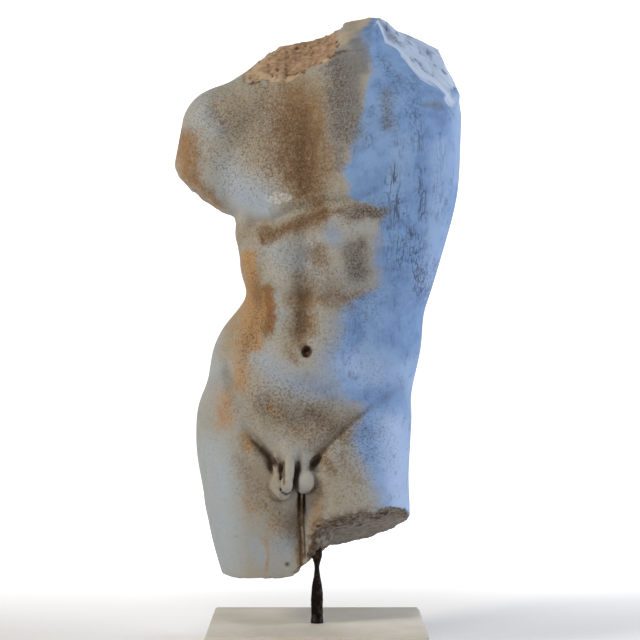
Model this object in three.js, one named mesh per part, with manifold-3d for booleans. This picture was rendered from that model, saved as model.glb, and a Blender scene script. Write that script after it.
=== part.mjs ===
// Marble torso of a standing youth, broken at neck, arms and thighs, held by an iron rod over a low plinth.
// Millimetres, +Z up, the body facing -Y, origin at the middle of the plinth's underside.
import * as THREE from 'three';
import { mergeVertices } from 'three/addons/utils/BufferGeometryUtils.js';
import Module from 'manifold-3d';

const wasm = await Module();
wasm.setup();

// Driving dimensions
const torsoHeight = 770; // lowest edge of the right thigh to the top of the raised shoulder
const footClearance = 70; // from the plinth's top up to that lowest edge
const plinthWidth = 300;
const plinthDepth = 260;
const plinthHeight = 45;
const plinthEdge = 3; // worn bevel round the block
const rodAcrossFoot = 18; // round foot let into the plinth
const rodPaddleWidth = 18; // hammered flat part above the plinth, across
const rodPaddleThickness = 10;
const rodNeckWidth = 8; // where the flat bar is twisted edge-on
const rodNeckThickness = 14;
const rodTenon = 15; // round end drilled up into the left thigh
const tenonDepth = 60;
const socketDepth = 30;
const fitGap = 0.3; // clearance round both ends of the rod
const ringSpacing = 13.5; // height between the rings that carry the skin
const groinSpacing = 7.5; // closer there, where the furrows are narrow
const ringSides = 52;
const breakGrain = 16; // facet size on the broken faces
const breakRelief = 2.6; // how far those facets rise and fall

// The figure is drawn at a height of 770, with heights counted from the plinth's top, and scaled once.
const drawnHeight = 770;
const drawnFoot = 70;
const figureScale = torsoHeight / drawnHeight;
const figureTop = drawnFoot + drawnHeight;

// Body sections from the thighs up. Each gives the body's middle, its half widths to the figure's right and
// left as seen from the front, its depth to front and back, how far it is turned and how far its level leans.
const sectionNames = ['height', 'midX', 'midY', 'west', 'east', 'front', 'back', 'turn', 'lean'];
const bodySections = [
  [180, -16, 4, 124, 118, 76, 78, 4, -4],
  [235, -18, 8, 143, 136, 90, 92, 5, -4],
  [290, -15, 8, 147, 138, 98, 94, 6, -4],
  [345, -8, 2, 138, 133, 98, 88, 8, -3],
  [405, 3, -4, 129, 137, 92, 84, 11, 0],
  [465, 12, -6, 109, 150, 88, 84, 16, 3],
  [535, 20, -4, 122, 164, 92, 92, 21, 6],
  [600, 26, 0, 143, 172, 98, 100, 24, 7],
  [660, 27, 6, 156, 177, 96, 104, 25, 8],
  [715, 24, 12, 152, 180, 86, 98, 24, 9],
  [765, 18, 18, 122, 148, 68, 82, 20, 10],
  [800, 16, 22, 92, 116, 58, 70, 18, 10],
  [870, 14, 28, 60, 90, 46, 54, 16, 10],
];
// Thigh sections: height, middle, half width and half depth.
const rightThigh = [[20, -68, 4, 48, 68], [66, -76, 2, 56, 76], [133, -85, 0, 65, 82], [200, -88, 0, 70, 86],
  [300, -82, 6, 76, 84]];
const leftThigh = [[20, 54, -8, 72, 76], [100, 54, -8, 75, 80], [167, 54, -8, 75, 85], [234, 52, -4, 72, 86],
  [300, 50, 4, 76, 84]];

// Smooth curve through the values of a table, read at a height.
function curveThrough(rows, column) {
  const h = rows.map((row) => row[0]);
  const v = rows.map((row) => row[column]);
  const last = h.length - 1;
  const rise = (i) => (v[i + 1] - v[i]) / (h[i + 1] - h[i]);
  const slope = v.map((_, i) => {
    if (i === 0) return rise(0);
    if (i === last) return rise(last - 1);
    const below = h[i] - h[i - 1];
    const above = h[i + 1] - h[i];
    return (rise(i - 1) * above + rise(i) * below) / (below + above);
  });
  return (height) => {
    const z = Math.min(Math.max(height, h[0]), h[last]);
    let i = 0;
    while (i < last - 1 && z > h[i + 1]) i += 1;
    const w = h[i + 1] - h[i];
    const t = (z - h[i]) / w;
    const t2 = t * t;
    const t3 = t2 * t;
    return (2 * t3 - 3 * t2 + 1) * v[i] + (t3 - 2 * t2 + t) * w * slope[i]
      + (3 * t2 - 2 * t3) * v[i + 1] + (t3 - t2) * w * slope[i + 1];
  };
}

const bodyCurves = sectionNames.slice(1).map((_, i) => curveThrough(bodySections, i + 1));
const thighCurves = (rows) => [1, 2, 3, 4].map((column) => curveThrough(rows, column));
const rightThighCurves = thighCurves(rightThigh);
const leftThighCurves = thighCurves(leftThigh);

const radians = (degrees) => degrees * Math.PI / 180;

// Signed distances below are rough ones, below zero inside the stone.
function softUnion(a, b, blend) {
  const h = Math.max(blend - Math.abs(a - b), 0) / blend;
  return Math.min(a, b) - h * h * blend * 0.25;
}

function softCut(a, b, blend) {
  return -softUnion(-a, -b, blend);
}

function fade(from, to, x) {
  const t = Math.min(Math.max((x - from) / (to - from), 0), 1);
  return t * t * (3 - 2 * t);
}

function section(u, v, halfWidth, halfDepth, power) {
  const r = (Math.abs(u / halfWidth) ** power + Math.abs(v / halfDepth) ** power) ** (1 / power);
  return Math.hypot(u, v) * (1 - 1 / Math.max(r, 0.001));
}

// A rounded muscle: an egg at (u, v, h) with three radii, turned in the plane of the body's front.
function muscle(p, centre, radii, turn = 0) {
  const c = Math.cos(radians(turn));
  const s = Math.sin(radians(turn));
  const du = p.u - centre[0];
  const dv = p.v - centre[1];
  const dh = p.h - centre[2];
  const q = [du * c + dh * s, dv, dh * c - du * s];
  const k0 = Math.hypot(q[0] / radii[0], q[1] / radii[1], q[2] / radii[2]);
  const k1 = Math.hypot(q[0] / radii[0] ** 2, q[1] / radii[1] ** 2, q[2] / radii[2] ** 2);
  return k0 * (k0 - 1) / Math.max(k1, 1e-6);
}

// A round limb that tapers from one end to the other.
function limb(x, y, z, from, to, fromRadius, toRadius) {
  const axis = [to[0] - from[0], to[1] - from[1], to[2] - from[2]];
  const along = (x - from[0]) * axis[0] + (y - from[1]) * axis[1] + (z - from[2]) * axis[2];
  const t = Math.min(Math.max(along / (axis[0] ** 2 + axis[1] ** 2 + axis[2] ** 2), 0), 1);
  const away = Math.hypot(x - from[0] - t * axis[0], y - from[1] - t * axis[1], z - from[2] - t * axis[2]);
  return away - (fromRadius + (toRadius - fromRadius) * t);
}

// A carved furrow through points of (across, height, share of its depth).
function furrow(u, h, points, width, depth) {
  let nearest = Infinity;
  let share = 0;
  for (let i = 0; i < points.length - 1; i += 1) {
    const [u0, h0, s0] = points[i];
    const [u1, h1, s1] = points[i + 1];
    const along = ((u - u0) * (u1 - u0) + (h - h0) * (h1 - h0)) / ((u1 - u0) ** 2 + (h1 - h0) ** 2);
    const t = Math.min(Math.max(along, 0), 1);
    const away = Math.hypot(u - u0 - t * (u1 - u0), h - h0 - t * (h1 - h0));
    if (away < nearest) {
      nearest = away;
      share = s0 + (s1 - s0) * t;
    }
  }
  return depth * share * Math.exp(-((nearest / width) ** 2));
}

// Everything about the body that depends on the height alone.
function levelAt(z) {
  const [midX, midY, west, east, front, back, turn, lean] = bodyCurves.map((curve) => curve(z));
  const read = (curves) => curves.map((curve) => curve(z));
  return {
    z, midX, midY, west, east, front, back,
    cos: Math.cos(radians(turn)),
    sin: Math.sin(radians(turn)),
    rise: Math.tan(radians(lean)),
    rightThigh: read(rightThighCurves),
    leftThigh: read(leftThighCurves),
  };
}

// A place in the straightened body: across, front to back, and up, with the pose taken out.
function straighten(x, y, level) {
  const dx = x - level.midX;
  const dy = y - level.midY;
  const u = dx * level.cos - dy * level.sin;
  return { u, v: dx * level.sin + dy * level.cos, h: level.z - u * level.rise };
}

function thigh(x, y, [midX, midY, halfWidth, halfDepth], inner) {
  const u = x - midX;
  const power = u * inner > 0 ? 3.2 : 2.15; // fuller where the thighs press together
  return section(u, y - midY, halfWidth, halfDepth, power);
}

// Where the thighs meet, and the web of stone left between them.
const thighGap = { x: -20, halfWidth: 12, halfDepth: 54 };

function trunkAndThighs(x, y, level, p) {
  const { z } = level;
  const wide = p.u < 0 ? level.west : level.east;
  const deep = p.v < 0 ? level.front : level.back;
  const trunk = softCut(section(p.u, p.v, wide, deep, 2.2), 170 - z, 30);
  const web = Math.max(Math.abs(x - thighGap.x) - thighGap.halfWidth, Math.abs(y) - thighGap.halfDepth);
  const thighs = Math.min(thigh(x, y, level.rightThigh, 1), thigh(x, y, level.leftThigh, -1));
  const legs = softCut(softUnion(thighs, web, 6), z - 330, 60);
  return softUnion(trunk, legs, 34);
}

function shouldersAndNeck(x, y, z, before) {
  let d = before;
  const arm = limb(x, y, z, [-126, 18, 692], [-148, 24, 606], 64, 50);
  const armBreak = (x + 161) * -0.62 + (y - 10) * -0.1 + (z - 598) * -0.78;
  d = softUnion(d, Math.max(arm, armBreak), 24);
  d = softUnion(d, limb(x, y, z, [-126, 18, 692], [-30, 26, 758], 57, 52), 20);
  d = softUnion(d, limb(x, y, z, [120, 18, 690], [170, 24, 850], 70, 54), 36);
  return softUnion(d, limb(x, y, z, [10, 30, 730], [24, 16, 900], 64, 54), 44);
}

// Muscles that come in pairs. Side is -1 on the figure's right and 1 on its left.
function pairedMuscles(p, side, before) {
  let d = before;
  const raised = side > 0; // the breast under the raised arm is flatter and higher
  const breast = raised ? [72, -50, 650] : [-76, -56, 640];
  d = softUnion(d, muscle(p, breast, raised ? [80, 44, 84] : [78, 44, 70], side * 16), 14);
  d = softUnion(d, muscle(p, [side * 54, -50, 522], [raised ? 66 : 52, 46, 62], side * 24), 30);
  d = softUnion(d, muscle(p, [side * (raised ? 112 : 88), 28, 600], [raised ? 46 : 42, 66, 100]), 30);
  d = softUnion(d, muscle(p, [side * 84, 66, 656], [60, 46, 80], -side * 10), 24);
  d = softUnion(d, muscle(p, [side * 31, 56, 430], [28, 36, 150]), 22);
  d = softUnion(d, muscle(p, [side * (raised ? 100 : 94), -6, 374], [42, 72, 52]), 34);
  d = softUnion(d, muscle(p, [side * 32, -66, 450], [38, 36, 120]), 20);
  return softUnion(d, muscle(p, [side * 64, 60, 262 - side * 8], [74, 72, 84]), 14);
}

function frontFurrows(u, h) {
  let depth = furrow(u, h, [[0, 735, 0.3], [0, 650, 1], [0, 575, 1], [0, 520, 0.5], [0, 470, 0.9],
    [0, 410, 1], [0, 385, 0]], 13, 3.5); // breastbone and midline
  depth += furrow(u, h, [[-124, 600, 0], [-104, 570, 0.8], [-60, 560, 1], [-22, 572, 0.9], [0, 572, 0.6],
    [30, 574, 0.9], [70, 570, 1], [104, 584, 0.7], [120, 616, 0.4], [122, 650, 0]], 9, 5); // under the breasts
  depth += furrow(u, h, [[-56, 446, 0], [-38, 452, 1], [38, 452, 1], [60, 446, 0]], 10, 2.5); // across the belly
  depth += furrow(u, h, [[-48, 502, 0], [-30, 508, 0.8], [30, 508, 0.8], [50, 502, 0]], 10, 1.6);
  for (const side of [-1, 1]) {
    depth += furrow(side * u, h, [[58, 520, 0], [66, 480, 0.7], [68, 440, 1], [70, 400, 0.8], [76, 360, 0.5],
      [70, 320, 0]], 15, side < 0 ? 5 : 3.5); // outer edges of the belly muscle
  }
  depth += furrow(u, h, [[-128, 398, 0], [-112, 352, 0.9], [-92, 322, 1], [-76, 300, 0.7],
    [-60, 276, 0.3]], 10, 5); // over the right hip bone
  depth += furrow(u, h, [[-78, 280, 0], [-64, 262, 0.7], [-50, 247, 1.2], [-38, 234, 1.5],
    [-33, 220, 1]], 7, 8); // right groin
  depth += furrow(u, h, [[150, 352, 0.5], [104, 320, 0.8], [72, 288, 0.9], [46, 262, 1.1], [28, 240, 1.4],
    [25, 222, 1]], 7, 7); // left groin
  return depth + furrow(u, h, [[-92, 320, 0], [-52, 288, 0.7], [0, 280, 1], [50, 298, 0.6],
    [80, 306, 0]], 14, 3); // top of the pubic mound
}

function spineFurrow(u, h) {
  return furrow(u, h, [[0, 760, 0.2], [0, 650, 0.8], [0, 480, 1], [0, 370, 0.9], [0, 330, 0.3]], 16, 9);
}

// The whole body before it was broken.
function unbroken(x, y, level) {
  const p = straighten(x, y, level);
  let d = shouldersAndNeck(x, y, level.z, trunkAndThighs(x, y, level, p));
  d = pairedMuscles(p, -1, d);
  d = pairedMuscles(p, 1, d);
  d = softUnion(d, muscle(p, [0, -46, 322], [108, 62, 82]), 30); // lower belly
  d = softUnion(d, muscle(p, [0, -60, 246], [52, 36, 46]), 24); // pubic mound
  d += (1 - fade(-30, 10, p.v)) * frontFurrows(p.u, p.h);
  return d + fade(-10, 30, p.v) * spineFurrow(p.u, p.h);
}

// Distance from the body's middle line out to its surface, in one level direction.
function reach(level, angle) {
  const cos = Math.cos(angle);
  const sin = Math.sin(angle);
  const depthAt = (r) => unbroken(level.midX + r * cos, level.midY + r * sin, level);
  const coarse = 4;
  let outside = 280;
  while (outside > coarse && depthAt(outside - coarse) > 0) outside -= coarse;
  let inside = outside - coarse;
  for (let i = 0; i < 14; i += 1) {
    const middle = (inside + outside) / 2;
    if (depthAt(middle) > 0) outside = middle;
    else inside = middle;
  }
  return inside;
}

// Closed skin over rings of points, with a fan at each end.
function skin(rings) {
  const sides = rings[0].length;
  const positions = rings.flat(2);
  const index = [];
  for (let r = 0; r < rings.length - 1; r += 1) {
    for (let s = 0; s < sides; s += 1) {
      const a = r * sides + s;
      const b = r * sides + (s + 1) % sides;
      index.push(a, b, b + sides, a, b + sides, a + sides);
    }
  }
  for (const [r, flip] of [[0, true], [rings.length - 1, false]]) {
    const ring = rings[r];
    const centre = positions.length / 3;
    positions.push(...[0, 1, 2].map((axis) => ring.reduce((sum, point) => sum + point[axis], 0) / sides));
    for (let s = 0; s < sides; s += 1) {
      const a = r * sides + s;
      const b = r * sides + (s + 1) % sides;
      index.push(...(flip ? [b, a, centre] : [a, b, centre]));
    }
  }
  const geometry = new THREE.BufferGeometry();
  geometry.setAttribute('position', new THREE.Float32BufferAttribute(positions, 3));
  geometry.setIndex(index);
  return geometry;
}

// Solids for joining and cutting
function toSolid(geometry) {
  const bare = geometry.clone();
  bare.deleteAttribute('normal');
  bare.deleteAttribute('uv');
  const merged = mergeVertices(bare, 1e-4);
  return new wasm.Manifold(new wasm.Mesh({
    numProp: 3,
    vertProperties: Float32Array.from(merged.attributes.position.array),
    triVerts: Uint32Array.from(merged.index.array),
  }));
}

function toGeometry(solid) {
  const mesh = solid.getMesh();
  const geometry = new THREE.BufferGeometry();
  const positions = new Float32Array(mesh.numVert * 3);
  for (let i = 0; i < mesh.numVert; i += 1) {
    for (let axis = 0; axis < 3; axis += 1) {
      positions[i * 3 + axis] = mesh.vertProperties[i * mesh.numProp + axis];
    }
  }
  geometry.setAttribute('position', new THREE.BufferAttribute(positions, 3));
  geometry.setIndex(new THREE.BufferAttribute(Uint32Array.from(mesh.triVerts), 1));
  geometry.computeVertexNormals();
  return geometry;
}

// A block with one rough face through a point, square to a direction. It takes away all that lies beyond.
function breakBlock(point, direction, halfSize = 190, depth = 260) {
  const n = new THREE.Vector3(...direction).normalize();
  const across = new THREE.Vector3(0, 1, 0).cross(n).normalize();
  const along = n.clone().cross(across);
  const steps = Math.round(2 * halfSize / breakGrain);
  const rough = (i, j) => breakRelief * (Math.sin(i * 2.3 + j * 1.1) + Math.sin(j * 2.9 - i * 1.7)) / 2;
  const geometry = new THREE.BoxGeometry(2 * halfSize, 2 * halfSize, depth, steps, steps, 1);
  const place = geometry.attributes.position;
  for (let k = 0; k < place.count; k += 1) {
    const i = Math.round((place.getX(k) + halfSize) / (2 * halfSize) * steps);
    const j = Math.round((place.getY(k) + halfSize) / (2 * halfSize) * steps);
    const onFace = place.getZ(k) < 0;
    place.setZ(k, onFace ? rough(i, j) : depth);
  }
  geometry.applyMatrix4(new THREE.Matrix4().makeBasis(across, along, n));
  geometry.translate(...point);
  return toSolid(geometry);
}

// The broken faces, in the figure's own drawing. Each is a place on the break and the way it faces.
const neckBreak = { at: [-33, -20, 782], facing: [-0.3, -0.45, 1] };
const neckWall = { at: [8, -20, 800], facing: [-0.9, -0.3, 1] };
const shoulderBreak = { at: [123, -52, 768], facing: [0.6, -0.5, 0.7] };
const shoulderScoop = { at: [80, -30, figureTop], facing: [0.85, -0.36, 0.47] };
const topBreak = { at: [60, 0, figureTop], facing: [0.05, 0.1, 1] };
const footBreak = { at: [-80, 0, drawnFoot], facing: [0.02, 0, -1] };
const thighBreak = { at: [81, -10, 137.5], facing: [0.25, -0.27, -1] };
const thighChip = { at: [25, -40, 128], facing: [1.15, -0.12, -1] };
const breakBy = (face) => breakBlock(face.at, face.facing);

const groinHeight = 235;
// Small forms set on the body, as eggs: place, radii and tilt about the depth axis
const groinForms = [
  { at: [-38, -98, 205], radii: [9.5, 11, 30], tilt: 8 },
  { at: [-46, -88, 191], radii: [19, 15, 22], tilt: 6 },
  { at: [-17, -88, 196], radii: [18, 15, 21], tilt: -6 },
];
const navel = { at: [-14, -93, 378], radii: [7, 12, 8], tilt: 0 };

function egg({ at, radii, tilt }) {
  const geometry = new THREE.SphereGeometry(1, 14, 10);
  geometry.scale(...radii);
  geometry.rotateY(radians(tilt));
  geometry.translate(...at);
  return toSolid(geometry);
}

// Height of the broken underside over a place on the plinth, in the figure's drawing.
function undersideAt(x, y) {
  const heightOn = ({ at, facing }) => at[2]
    - (facing[0] * (x - at[0]) + facing[1] * (y - at[1])) / facing[2];
  return Math.max(heightOn(footBreak), Math.min(heightOn(thighBreak), heightOn(thighChip)));
}

function marbleTorso() {
  const rings = [];
  let z = drawnFoot - 3 * breakGrain;
  while (z < figureTop + 2 * breakGrain) {
    const level = levelAt(z);
    const ring = [];
    for (let s = 0; s < ringSides; s += 1) {
      const even = s / ringSides * 2 * Math.PI;
      const angle = even + 0.22 * Math.sin(2 * even); // closer together at the front and back middle
      const out = reach(level, angle);
      ring.push([level.midX + out * Math.cos(angle), level.midY + out * Math.sin(angle), z]);
    }
    rings.push(ring);
    const nearGroin = Math.exp(-(((z - groinHeight) / 55) ** 2));
    z += ringSpacing + (groinSpacing - ringSpacing) * nearGroin;
  }
  let stone = toSolid(skin(rings));
  for (const form of groinForms) stone = stone.add(egg(form));
  stone = stone.subtract(egg(navel));
  stone = stone.subtract(breakBy(neckBreak).intersect(breakBy(neckWall)));
  stone = stone.subtract(breakBy(shoulderBreak).intersect(breakBy(shoulderScoop)));
  stone = stone.subtract(breakBy(topBreak));
  stone = stone.subtract(breakBy(footBreak));
  return stone.subtract(breakBy(thighBreak).intersect(breakBy(thighChip)));
}

// The rod stands where the stone is broken off nearest to the middle.
const rodPlace = { x: 0, y: -14 };
const stoneLift = plinthHeight + footClearance - drawnFoot * figureScale;
const rodTop = undersideAt(rodPlace.x, rodPlace.y) * figureScale + stoneLift;
const rodX = rodPlace.x * figureScale;
const rodY = rodPlace.y * figureScale;

function upright(diameter, from, to) {
  const geometry = new THREE.CylinderGeometry(diameter / 2, diameter / 2, to - from, 24);
  geometry.rotateX(Math.PI / 2);
  geometry.translate(rodX, rodY, (from + to) / 2);
  return toSolid(geometry);
}

function ironRod() {
  const free = rodTop - plinthHeight;
  const foot = rodAcrossFoot / 2;
  const tenon = rodTenon / 2;
  const profile = [
    [plinthHeight - socketDepth, foot, foot],
    [plinthHeight + 1, foot, foot],
    [plinthHeight + free * 0.1, rodPaddleWidth / 2, rodPaddleThickness / 2],
    [plinthHeight + free * 0.42, rodPaddleWidth / 2, rodPaddleThickness / 2],
    [plinthHeight + free * 0.66, (rodPaddleWidth + rodNeckWidth) / 4, (rodPaddleThickness + rodNeckThickness) / 4],
    [plinthHeight + free * 0.8, rodNeckWidth / 2, rodNeckThickness / 2],
    [rodTop - 2, tenon, tenon],
    [rodTop + tenonDepth, tenon, tenon],
  ];
  const sides = 20;
  return skin(profile.map(([z, halfWidth, halfDepth]) => Array.from({ length: sides }, (_, s) => {
    const angle = s / sides * 2 * Math.PI;
    return [rodX + halfWidth * Math.cos(angle), rodY + halfDepth * Math.sin(angle), z];
  })));
}

function plinthBlock() {
  const halfWidth = plinthWidth / 2;
  const halfDepth = plinthDepth / 2;
  const outline = new THREE.Shape([
    new THREE.Vector2(-halfWidth, -halfDepth), new THREE.Vector2(halfWidth, -halfDepth),
    new THREE.Vector2(halfWidth, halfDepth), new THREE.Vector2(-halfWidth, halfDepth),
  ]);
  const block = new THREE.ExtrudeGeometry(outline, {
    depth: plinthHeight - 2 * plinthEdge,
    bevelThickness: plinthEdge,
    bevelSize: plinthEdge,
    bevelOffset: -plinthEdge,
    bevelSegments: 1,
  });
  block.translate(0, 0, plinthEdge);
  const socket = upright(rodAcrossFoot + 2 * fitGap, plinthHeight - socketDepth - fitGap, plinthHeight + 10);
  return toGeometry(toSolid(block).subtract(socket));
}

const finishes = {
  marble: new THREE.MeshStandardMaterial({ color: 0xa9a39a, roughness: 0.7, metalness: 0 }),
  iron: new THREE.MeshStandardMaterial({ color: 0x1a1411, roughness: 0.6, metalness: 0.8 }),
  plinthStone: new THREE.MeshStandardMaterial({ color: 0xb8b1a4, roughness: 0.8, metalness: 0 }),
};

function named(name, geometry, material) {
  const mesh = new THREE.Mesh(geometry, material);
  mesh.name = name;
  return mesh;
}

const placed = toGeometry(marbleTorso());
placed.scale(figureScale, figureScale, figureScale);
placed.translate(0, 0, stoneLift);
const drilled = toSolid(placed).subtract(upright(rodTenon + 2 * fitGap, rodTop - 40, rodTop + tenonDepth + fitGap));

const statue = new THREE.Group();
statue.add(named('marble_torso', toGeometry(drilled), finishes.marble));
statue.add(named('iron_rod', ironRod(), finishes.iron));
statue.add(named('plinth', plinthBlock(), finishes.plinthStone));

export default statue;
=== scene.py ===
import math
import time

import bpy
import numpy as np
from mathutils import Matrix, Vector


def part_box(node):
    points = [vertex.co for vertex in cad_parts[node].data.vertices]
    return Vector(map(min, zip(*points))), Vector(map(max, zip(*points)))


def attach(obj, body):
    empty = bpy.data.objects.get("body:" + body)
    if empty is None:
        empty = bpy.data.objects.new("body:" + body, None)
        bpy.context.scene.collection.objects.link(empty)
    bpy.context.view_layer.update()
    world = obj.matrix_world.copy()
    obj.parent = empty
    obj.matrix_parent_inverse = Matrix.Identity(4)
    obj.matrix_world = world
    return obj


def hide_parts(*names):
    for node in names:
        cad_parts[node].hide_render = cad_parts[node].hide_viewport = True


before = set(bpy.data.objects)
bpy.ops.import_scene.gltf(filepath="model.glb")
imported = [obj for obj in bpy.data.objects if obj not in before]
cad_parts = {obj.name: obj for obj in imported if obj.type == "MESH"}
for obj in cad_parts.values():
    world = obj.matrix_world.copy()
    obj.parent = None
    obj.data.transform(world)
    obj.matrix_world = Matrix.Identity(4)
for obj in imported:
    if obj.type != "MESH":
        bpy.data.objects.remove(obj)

started = time.time()
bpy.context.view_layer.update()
scene = bpy.context.scene
mm = 0.001
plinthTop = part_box("plinth")[1][2]  # metres; the figure's own heights are counted from here


def report(stage):
    print(f"[torso] {stage} at {time.time() - started:.1f} s")


# camera

# the photograph looks level at the middle of the figure; one of its pixels is 1.4 mm there
view = {
    "imageSize": 640,
    "mmPerPixel": 1.4,
    "axisPixel": 317,       # the rod's and the frame's middle line in the photograph
    "floorPixel": 621,      # the plinth's top in the photograph
    "distance": 2.6,        # metres from the lens to the figure
    "sensor": 36.0,
}


def placeCamera():
    acrossView = view["imageSize"] * view["mmPerPixel"] * mm
    middle = view["imageSize"] / 2
    target = Vector(((middle - view["axisPixel"]) * view["mmPerPixel"] * mm, 0,
                     plinthTop + (view["floorPixel"] - middle) * view["mmPerPixel"] * mm))
    data = bpy.data.cameras.new("viewpoint")
    data.sensor_width = view["sensor"]
    data.lens = view["sensor"] * view["distance"] / acrossView
    camera = bpy.data.objects.new("viewpoint", data)
    camera.location = target + Vector((0, -view["distance"], 0))
    camera.rotation_euler = (math.radians(90), 0, 0)
    scene.collection.objects.link(camera)
    scene.camera = camera
    return target


middleOfView = placeCamera()

# the figure's form: a body section at each height, muscles set on it, furrows cut in, then broken
# rough distances in millimetres, below zero inside the stone

body = {
    "drawnHeight": 770,
    "drawnFoot": 70,
    # height, midX, midY, west, east, front, back, turn, lean
    "sections": [
        (180, -16, 4, 124, 118, 76, 78, 4, -4),
        (235, -18, 8, 143, 136, 90, 92, 5, -4),
        (290, -15, 8, 147, 138, 98, 94, 6, -4),
        (345, -8, 2, 138, 133, 98, 88, 8, -3),
        (405, 3, -4, 129, 137, 92, 84, 11, 0),
        (465, 12, -6, 109, 150, 88, 84, 16, 3),
        (535, 20, -4, 129, 164, 92, 92, 21, 6),
        (600, 26, 0, 143, 172, 98, 100, 24, 7),
        (660, 27, 6, 156, 177, 96, 104, 25, 8),
        (715, 24, 12, 152, 180, 86, 98, 24, 9),
        (765, 18, 18, 122, 148, 68, 82, 20, 10),
        (800, 16, 22, 92, 116, 58, 70, 18, 10),
        (870, 14, 28, 60, 90, 46, 54, 16, 10),
    ],
    # height, midX, midY, half width, half depth
    "rightThigh": [(20, -68, 4, 48, 68), (66, -76, 2, 56, 76), (133, -85, 0, 65, 82),
                   (200, -88, 0, 70, 86), (300, -82, 6, 76, 84)],
    "leftThigh": [(20, 54, -8, 72, 76), (100, 54, -8, 75, 80), (167, 54, -8, 75, 85),
                  (234, 52, -4, 72, 86), (300, 50, 4, 76, 84)],
    "thighGap": {"x": -21, "halfWidth": 10, "halfDepth": 63},
}
figureTop = body["drawnFoot"] + body["drawnHeight"]


def readCurve(rows, column, z):
    # smooth curve through one column of a table, read at the heights z
    h = np.array([row[0] for row in rows], float)
    v = np.array([row[column] for row in rows], float)
    w = np.diff(h)
    rise = np.diff(v) / w
    inner = (rise[:-1] * w[1:] + rise[1:] * w[:-1]) / (w[:-1] + w[1:])
    slope = np.concatenate([rise[:1], inner, rise[-1:]])
    z = np.clip(z, h[0], h[-1])
    i = np.clip(np.searchsorted(h, z, side="right") - 1, 0, len(h) - 2)
    t = (z - h[i]) / w[i]
    t2 = t * t
    t3 = t2 * t
    return ((2 * t3 - 3 * t2 + 1) * v[i] + (t3 - 2 * t2 + t) * w[i] * slope[i]
            + (3 * t2 - 2 * t3) * v[i + 1] + (t3 - t2) * w[i] * slope[i + 1])


def softUnion(a, b, blend):
    h = np.maximum(blend - np.abs(a - b), 0) / blend
    return np.minimum(a, b) - h * h * blend * 0.25


def softCut(a, b, blend):
    return -softUnion(-a, -b, blend)


def fade(start, end, x):
    t = np.clip((x - start) / (end - start), 0, 1)
    return t * t * (3 - 2 * t)


def section(u, v, halfWidth, halfDepth, power):
    r = (np.abs(u / halfWidth) ** power + np.abs(v / halfDepth) ** power) ** (1 / power)
    return np.hypot(u, v) * (1 - 1 / np.maximum(r, 0.001))


def muscle(p, centre, radii, turn=0.0):
    u, v, h = p
    c, s = math.cos(math.radians(turn)), math.sin(math.radians(turn))
    du, dv, dh = u - centre[0], v - centre[1], h - centre[2]
    a, b, e = du * c + dh * s, dv, dh * c - du * s
    k0 = np.sqrt((a / radii[0]) ** 2 + (b / radii[1]) ** 2 + (e / radii[2]) ** 2)
    k1 = np.sqrt((a / radii[0] ** 2) ** 2 + (b / radii[1] ** 2) ** 2 + (e / radii[2] ** 2) ** 2)
    return k0 * (k0 - 1) / np.maximum(k1, 1e-6)


def limb(p, start, end, startRadius, endRadius):
    x, y, z = p
    axis = np.array(end, float) - np.array(start, float)
    t = ((x - start[0]) * axis[0] + (y - start[1]) * axis[1] + (z - start[2]) * axis[2]) / (axis @ axis)
    t = np.clip(t, 0, 1)
    away = np.sqrt((x - start[0] - t * axis[0]) ** 2 + (y - start[1] - t * axis[1]) ** 2
                   + (z - start[2] - t * axis[2]) ** 2)
    return away - (startRadius + (endRadius - startRadius) * t)


def furrow(u, h, points, width, depth):
    # a carved line through points of (across, height, share of its depth)
    nearest = np.full(u.shape, 1e9)
    share = np.zeros(u.shape)
    for (u0, h0, s0), (u1, h1, s1) in zip(points[:-1], points[1:]):
        du, dh = u1 - u0, h1 - h0
        t = np.clip(((u - u0) * du + (h - h0) * dh) / (du * du + dh * dh), 0, 1)
        away = np.hypot(u - u0 - t * du, h - h0 - t * dh)
        share = np.where(away < nearest, s0 + (s1 - s0) * t, share)
        nearest = np.minimum(nearest, away)
    return depth * share * np.exp(-(nearest / width) ** 2)


def straighten(x, y, z):
    # a place across, front to back and up in the body, with the pose taken out
    rows = body["sections"]
    turn = np.radians(readCurve(rows, 7, z))
    lean = np.radians(readCurve(rows, 8, z))
    dx, dy = x - readCurve(rows, 1, z), y - readCurve(rows, 2, z)
    u = dx * np.cos(turn) - dy * np.sin(turn)
    v = dx * np.sin(turn) + dy * np.cos(turn)
    return u, v, z - u * np.tan(lean)


def thigh(x, y, z, rows, inner):
    midX, midY, halfWidth, halfDepth = (readCurve(rows, column, z) for column in (1, 2, 3, 4))
    u = x - midX
    power = np.where(u * inner > 0, 3.2, 2.15)  # fuller where the thighs press together
    return section(u, y - midY, halfWidth, halfDepth, power)


def trunkAndThighs(x, y, z, p):
    u, v, h = p
    rows = body["sections"]
    wide = np.where(u < 0, readCurve(rows, 3, z), readCurve(rows, 4, z))
    deep = np.where(v < 0, readCurve(rows, 5, z), readCurve(rows, 6, z))
    trunk = softCut(section(u, v, wide, deep, 2.2), 170 - z, 30)
    gap = body["thighGap"]
    web = np.maximum(np.abs(x - gap["x"]) - gap["halfWidth"], np.abs(y) - gap["halfDepth"])
    thighs = np.minimum(thigh(x, y, z, body["rightThigh"], 1), thigh(x, y, z, body["leftThigh"], -1))
    legs = softCut(softUnion(thighs, web, 6), z - 330, 60)
    return softUnion(trunk, legs, 34)


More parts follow.
